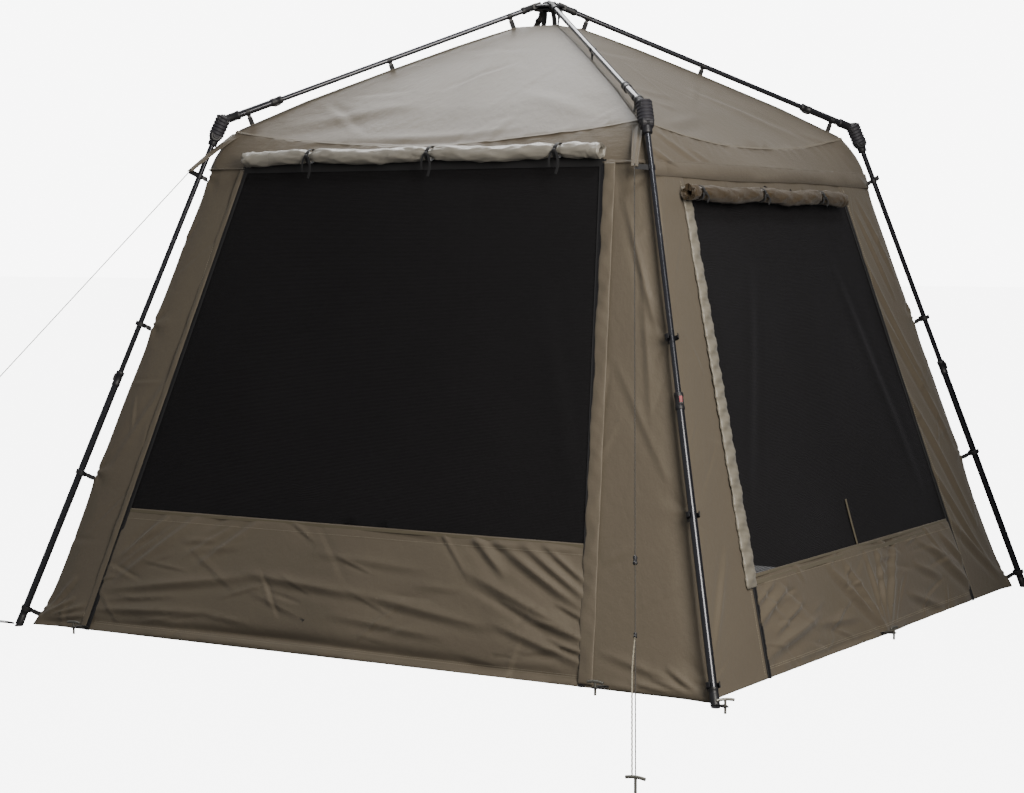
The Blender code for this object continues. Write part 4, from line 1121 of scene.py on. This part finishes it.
def wall_line(side, places, out):
    """A line on a side's wall through (along, height) points, every 1 cm, with the way it faces."""
    line = []
    for (s0, z0), (s1, z1) in zip(places, places[1:]):
        steps = max(2, int(hypot(s1 - s0, z1 - z0) / 0.01))
        line += [(s0 + (s1 - s0) * i / steps, z0 + (z1 - z0) * i / steps) for i in range(steps)]
    line.append(places[-1])
    s, z = np.array(line).T
    return moved(on_wall(s, z, out), side_matrix(side)), side_matrix(side).to_3x3() @ OUT


for side in SIDES:
    shells, teeth = [], []
    head = TOP_Z[side] - HEADER_DROP[side]
    edges = [[(edge(side, right, HEM_Z), HEM_Z), (edge(side, right, head), head)] for right in (False, True)]
    for places in edges:
        path, out = wall_line(side, places, 0.0045)
        across = out.cross(Vector(path[-1] - path[0])).normalized()
        shells.append(swept(path, band(0.024, 0.0010), across))
        teeth.append((wall_line(side, places, 0.0060)[0], tuple(out)))
    # The wide black band across the door's head is partly its head tape and partly painted shade. It stands in front
    # of the mesh where the roll's underside is in shadow.
    if side == "front":
        path, out = wall_line(side, [(edge(side, False, DOOR_HEAD_Z), DOOR_HEAD_Z),
                                     (edge(side, True, DOOR_HEAD_Z), DOOR_HEAD_Z)], 0.0085)
        shells.append(swept(path, band(0.034, 0.0012), (0, 0, 1)))
    part("zip_tapes_" + side, shells, WEBBING_SKIN)
    repeated("zip_coils_" + side, teeth, ZIP_SPACING, ZIP_TOOTH, ZIP_SKIN)


def flap(name, side, line, width, rise, folds_in_it, skin, seed):
    """A strip of cloth sewn along a line of the wall: it rises off the wall and is gathered."""
    dice = np.random.RandomState(seed)
    u, v = grid(281, 25)
    (s0, z0), (s1, z1) = line
    z = z0 + (z1 - z0) * v
    wide = np.interp(v, (0, 1), width)
    gathers = 0.5 + 0.5 * np.sin(folds_in_it * 2 * pi * v + 2.6 * np.sin(11 * v + seed) + 3.4 * u)
    gathers = 0.7 * gathers + 0.3 * (0.5 + 0.5 * np.sin(folds_in_it * 5.3 * pi * v - 4.0 * u + 2 * np.sin(23 * v)))
    s = s0 + (s1 - s0) * v + wide * (u - 1) * (1 + 0.12 * (gathers - 0.5))
    round_off = np.sqrt(np.clip(4 * u * (1 - u), 0, 1)) * np.clip(np.minimum(v, 1 - v) / 0.012, 0, 1) ** 0.5
    out = 0.0062 + round_off * rise * (0.45 + 0.75 * gathers) + swell(s, z, dice, 0.12, 0.0012)
    made = cloth_object(name, to_side(on_wall(s, z, out), side), skin, (float(np.mean(width)), abs(z1 - z0)))
    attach(made, "gazebo")
    return made


flap("door_zip_flap_right", "front", ((0.728 + 0.036, 1.60), (0.892 + 0.036, 0.012)), (0.040, 0.052), 0.004, 9,
     WALL_SKIN, 5)
flap("door_zip_flap_left", "front", ((-0.716, 1.60), (-1.092, 0.012)), (0.020, 0.024), 0.003, 6, WALL_SKIN, 6)
flap("window_zip_flap_left", "right", ((-0.652, 1.525), (-0.838, 0.275)), (0.052, 0.070), 0.012, 23,
     FLAP_SKIN, 7)
shells = []
for height, tall in ((SILL_Z["right"] - 0.0215, 0.014), (SILL_Z["right"] - 0.002, 0.008)):
    path, out = wall_line("right", [(-0.862, height), (-0.3, height + 0.003), (0.3, height - 0.002),
                                    (0.835, height + 0.002)], 0.0058)
    shells.append(swept(path, band(tall, 0.0016), (0, 0, 1)))
part("sill_tape_right", shells, PALE_WEBBING_SKIN)
for side in ("front", "back", "left"):
    height = SILL_Z[side]
    left, right = edge(side, False, height), edge(side, True, height)
    path, out = wall_line(side, [(left + 0.012, height - 0.004), (right - 0.012, height - 0.004)], 0.0042)
    part("sill_tape_" + side, [swept(path, band(0.010, 0.0012), (0, 0, 1))], PALE_WEBBING_SKIN)
def laid_on(path, out, sheets, lift):
    """A line along a wall, moved onto the outer face of the sheets under it."""
    placed = []
    for point in path:
        start = Vector(point) + out * 0.06
        hits = [sheet.ray_cast(start, -out, 0.14) for sheet in sheets]
        far = min((hit[3] for hit in hits if hit[0] is not None), default=0.06)
        placed.append(start - out * (far - lift))
    return np.array(placed)


for side in SIDES:
    k = SIDES[side]
    names = ["lower_cloth_" + side, "corner_cloth_" + CORNER_NAMES[k], "corner_cloth_" + CORNER_NAMES[k - 1]]
    sheets = [BVHTree.FromPolygons([v.co for v in bpy.data.objects[name].data.vertices],
                                   [p.vertices for p in bpy.data.objects[name].data.polygons]) for name in names]
    rows = []
    for right, step in ((False, -0.024), (True, 0.024)):
        if (side, right) != ("front", True):
            rows.append([(edge(side, right, HEM_Z) + step, 0.02), (edge(side, right, 1.54) + step, 1.54)])
    for height in (0.030, 0.036):
        rows.append([(edge(side, False, height) + 0.02, height), (edge(side, True, height) - 0.02, height)])
    height = SILL_Z[side] - 0.030
    rows.append([(edge(side, False, height) + 0.02, height), (edge(side, True, height) - 0.02, height)])
    lines = [wall_line(side, row, 0.0) for row in rows]
    repeated("wall_stitches_" + side, [(laid_on(path, out, sheets, 0.0011), tuple(out)) for path, out in lines],
             STITCH_PITCH, STITCH_SIZE, THREAD_SKIN)
pull_path, out = wall_line("right", [(-0.020, 0.468), (-0.017, 0.39), (-0.012, 0.315)], 0.0062)
pull_line = swept(pull_path, band(0.009, 0.0020), side_matrix("right").to_3x3() @ Vector((1, 0, 0)))
part("mesh_pull_cord", [pull_line], PALE_WEBBING_SKIN)


# ---- Clips and webbing that hold the tent to the poles.
# A black C-clip snaps round the tube, open outwards so the lock can go by, and a sewn webbing tab
# runs from it to the cloth. The two highest front ones also carry a tab for the guy.
CLIP_TALL = 0.016
CLIP_WALL = 0.0022
WIDE_RING_R = 0.0197
CLIP_OPEN = radians(46)
GUY_TAB = 0.048
GUY_TAB_TURN = {"front_left": 45, "front_right": -82, "back_left": -45, "back_right": 45}
for corner in CORNERS:
    place = corner_place(corner)
    clips, tabs = [], []
    for z in LEG_RING_Z:
        middle = leg_point(leg_length(z))
        bore = INNER_R + 0.0003 if z == LEG_RING_Z[0] else WIDE_RING_R
        radius = bore + CLIP_WALL / 2
        side_way = Vector((0, 1, 0))
        arc = [middle + (LEG_OUT * cos(a) + side_way * sin(a)) * radius
               for a in np.linspace(CLIP_OPEN, 2 * pi - CLIP_OPEN, 31)]
        clips.append(swept([place @ p for p in arc], band(CLIP_TALL, CLIP_WALL), place.to_3x3() @ LEG_AXIS))
        link = Matrix.Translation(middle - LEG_OUT * (radius + 0.0055))
        turn = along(Vector(), LEG_AXIS)
        clips.append(brick((0.011, 0.006, 0.013), place @ link @ turn))
        reach = (middle.x - ROOT2 * wall_t(z)) * LEG_AXIS.z + 0.004
        path = [middle - LEG_OUT * (radius + 0.007 + (reach - radius - 0.007) * k) + Vector((0, 0, -0.002 * sin(pi * k)))
                for k in np.linspace(0, 1, 12)]
        tabs.append(swept([place @ p for p in path], band(0.016, 0.0018), place.to_3x3() @ LEG_AXIS))
        if z == LEG_RING_Z[0]:
            way = Matrix.Rotation(radians(GUY_TAB_TURN[corner]), 3, LEG_AXIS) @ LEG_OUT
            path = [middle + way * (bore + 0.001 + GUY_TAB * k) for k in np.linspace(0, 1, 12)]
            tabs.append(swept([place @ p for p in path], band(0.018, 0.0018), place.to_3x3() @ LEG_AXIS))
    for t in ROOF_RING_T:
        middle = roof_point(t)
        bore = (INNER_R if t < ROOF_LOCK_T else OUTER_R) + 0.0003
        radius = bore + CLIP_WALL / 2
        down = Vector((ROOF_AXIS.z, 0, -ROOF_AXIS.x))
        arc = [middle + (-down * cos(a) + Vector((0, 1, 0)) * sin(a)) * radius
               for a in np.linspace(CLIP_OPEN, 2 * pi - CLIP_OPEN, 31)]
        clips.append(swept([place @ p for p in arc], band(CLIP_TALL, CLIP_WALL), place.to_3x3() @ ROOF_AXIS))
        clips.append(brick((0.010, 0.006, 0.013), place @ Matrix.Translation(middle + down * (radius + 0.005))
                           @ along(Vector(), ROOF_AXIS)))
        ridge = float(np.interp(t, RIDGE_T, RIDGE_Z))
        reach = (middle.z - ridge) * ROOF_AXIS.x - 0.001
        path = [middle + down * (radius + 0.006 + (reach - radius - 0.006) * k) for k in np.linspace(0, 1, 10)]
        tabs.append(swept([place @ p for p in path], band(0.018, 0.0018), place.to_3x3() @ ROOF_AXIS))
    part("pole_clips_" + corner, clips, NYLON_SKIN, bevel=0.0005)
    part("pole_tabs_" + corner, tabs, WEBBING_SKIN)
straps = []
for x in (-0.025, 0.025):
    for y in (-0.006, 0.006):
        path = [MIDDLE + Vector((x * (1 - 0.35 * k), y + 0.004 * sin(pi * k), PEAK_TOP + (HUB_Z - 0.012 - PEAK_TOP) * k))
                for k in np.linspace(0, 1, 10)]
        straps.append(swept(path, band(0.020, 0.0018), (0, 1, 0)))
part("peak_straps", straps, WEBBING_SKIN)


# ---- Pegs.
# Bent steel T-pegs, galvanised, pushed in to their heads. A webbing loop ties each to the hem or to
# the foot that it holds.
PEG_R = 0.004
PEG_BAR_R = 0.0046
PEG_HEIGHT = 0.045
PEG_HEAD = 0.055
GUY_PEGS = {"front_left": (-1.654, -2.290), "front_right": (1.654, -2.397)}
HEM_PEGS = {
    "door_left": ("front", -1.085, 0.070),
    "door_right": ("front", 0.975, 0.070),
    "right_wall": ("right", -0.02, 0.060),
}
FOOT_PEG_OUT = 0.085
PEG_SKIN = painted_steel("galvanised_peg_steel", "#77766F", "#A09E94", 0.45)


def peg_shells(place):
    """A T-peg above the ground: a round stem and an arched bar, along the place's X."""
    stem = turned([(0, 0), (PEG_R, 0), (PEG_R, PEG_HEIGHT - 0.002), (0, PEG_HEIGHT - 0.002)], place, 20)
    arch = [(x, 0, PEG_HEIGHT - 0.0062 + 0.0032 * cos(x / PEG_HEAD * pi) + 0.0005) for x in
            np.linspace(-PEG_HEAD / 2, PEG_HEAD / 2, 21)]
    return [stem, swept([place @ Vector(p) for p in arch], disc(PEG_BAR_R, 16), place.to_3x3() @ Vector((0, 1, 0)))]


def strap_loop(start, end, width, droop):
    """A doubled webbing strap between two points."""
    start, end = Vector(start), Vector(end)
    across = Vector((0, 0, 1)).cross(end - start).normalized()
    shells = []
    for lift in (0.0012, 0.0042):
        path = [start.lerp(end, k) + Vector((0, 0, lift + droop * sin(pi * k) * (1 if lift > 0.002 else 0.4)))
                for k in np.linspace(0, 1, 14)]
        shells.append(swept(path, band(width, 0.0016), across))
    return shells


for corner, (x, y) in GUY_PEGS.items():
    part("t_peg_guy_" + corner, peg_shells(Matrix.Translation(MIDDLE + Vector((x, y, 0)))), PEG_SKIN,
         stands_for=["guy_peg_" + corner], bevel=0.0004)
for name, (side, s, out) in HEM_PEGS.items():
    place = side_matrix(side)
    wall = wall_t(0.014) + 0.004
    part("t_peg_hem_" + name, peg_shells(place @ Matrix.Translation((s, -wall - out, 0))), PEG_SKIN,
         stands_for=["hem_peg_" + name], bevel=0.0004)
    part("hem_loop_" + name, strap_loop(place @ Vector((s, -wall + 0.004, 0.012)),
                                        place @ Vector((s, -wall - out - 0.006, 0.020)), 0.018, 0.004),
         WEBBING_SKIN)
for corner in CORNERS:
    place = corner_place(corner)
    x = ROOT2 * FOOT_T + FOOT_PEG_OUT
    stand = place @ Matrix.Translation((x, 0, 0)) @ Matrix.Rotation(pi / 2, 4, "Z")
    part("t_peg_foot_" + corner, peg_shells(stand), PEG_SKIN, stands_for=["foot_peg_" + corner],
         bevel=0.0004)
    inner = ROOT2 * FOOT_T + COLLAR_R + 0.0008
    part("foot_loop_" + corner, strap_loop(place @ Vector((inner, 0, 0.008)), place @ Vector((x + 0.006, 0, 0.018)),
                                           0.018, 0.003), WEBBING_SKIN)


# ---- Guys.
# Laid polyester cord, 4 mm thick, from the top tab of each front corner to its peg. A nylon slider
# tightens it, and below the slider it is doubled round the peg.
GUY_R = 0.0019
STRAND_TURN = 0.016
GUY_STEP = 0.004
SLIDER_SHARE = 0.70
LOOP_SHARE = 0.81
CORD_SKIN = coated_cloth("laid_polyester_cord", "#1D1A16", "#3A342B", 0.7, 0.0012)
LOOP_SKIN = coated_cloth("pale_elastic_loop", "#6E685A", "#8B8574", 0.7, 0.0012)


def laid_cord(path, radius):
    """A cord of three strands laid in a twist along a path, as points and faces."""
    path = np.asarray(path, float)
    ahead = (path[-1] - path[0]) / np.linalg.norm(path[-1] - path[0])
    side = np.cross(ahead, (0, 0, 1))
    side /= np.linalg.norm(side)
    up = np.cross(side, ahead)
    angles = np.arange(12) * 2 * pi / 12
    walked = np.concatenate([[0], np.cumsum(np.linalg.norm(np.diff(path, axis=0), axis=1))])
    twist = walked[:, None] / STRAND_TURN * 2 * pi / 3
    lobes = radius * (0.84 + 0.16 * np.cos(3 * (angles[None] - twist)))
    rings = path[:, None] + side * (lobes * np.cos(angles))[..., None] + up * (lobes * np.sin(angles))[..., None]
    last = 12 * (len(path) - 1)
    return rings.reshape(-1, 3), quads(len(path), 12, True) + [tuple(range(12)), tuple(last + i for i in range(12))[::-1]]


def guy_strap(corner, tab):
    """A tapering strap of doubled wall cloth from the eave's corner to the guy's tab."""
    u, v = grid(61, 13)
    eave = corner_place(corner) @ Vector((ROOT2 * EAVE_T - 0.006, 0, EAVE_Z - 0.004))
    across = side_matrix("front").to_3x3() @ Vector((1, 0, 0))
    out = across.cross(tab - eave).normalized()
    out = out if out.y < 0 else -out
    half = np.interp(v, (0, 0.25, 1), (0.026, 0.018, 0.012))[..., None]
    spine = np.array(eave) + (np.array(tab) - np.array(eave)) * v[..., None]
    lift = 0.004 * np.sin(pi * v) + 0.0016 * np.cos((2 * u - 1) * 5) * np.sin(pi * v) ** 0.5
    points = spine + half * (2 * u - 1)[..., None] * np.array(across) + lift[..., None] * np.array(out)
    length = (tab - eave).length
    strap = cloth_object("guy_strap_" + corner, points, WALL_SKIN, (0.036, length), 0.0022)
    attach(strap, "gazebo")


for corner, (x, y) in GUY_PEGS.items():
    z = LEG_RING_Z[0]
    way = Matrix.Rotation(radians(GUY_TAB_TURN[corner]), 3, LEG_AXIS) @ LEG_OUT
    tab = corner_place(corner) @ (leg_point(leg_length(z)) + way * (INNER_R + 0.0013 + GUY_TAB))
    guy_strap(corner, tab)
    peg = MIDDLE + Vector((x, y, PEG_HEIGHT - PEG_R))
    line = (peg - tab).normalized()
    end = peg - line * (PEG_BAR_R + 0.001)
    span = (end - tab).length
    side = line.cross(Vector((0, 0, 1))).normalized()
    steps = int(span / GUY_STEP)
    main = [tab + line * span * k for k in np.linspace(0, 1, steps)]
    looped = [tab + line * span * k + side * 0.0085 * sin(pi * min(1, (k - LOOP_SHARE) / (1 - LOOP_SHARE) * 3) / 2)
              for k in np.linspace(LOOP_SHARE, 0.9985, int(steps * (1 - LOOP_SHARE)))]
    part("guy_cord_" + corner, [laid_cord(main, GUY_R)], CORD_SKIN, stands_for=["guy_" + corner])
    part("guy_loop_" + corner, [laid_cord(looped, GUY_R * 1.3)], LOOP_SKIN)
    for label, share, size in (("slider", SLIDER_SHARE, 1.0), ("loop_knot", LOOP_SHARE, 0.55)):
        place = along(tab + line * span * share, line, side)
        body = [(0, -0.014), (0.004, -0.014), (0.0062, -0.010), (0.0050, -0.003), (0.0050, 0.003), (0.0068, 0.010),
                (0.0045, 0.014), (0, 0.014)]
        part("guy_" + label + "_" + corner, [turned([(r * (0.5 + size / 2), h * size) for r, h in body], place, 24)],
             NYLON_SKIN)
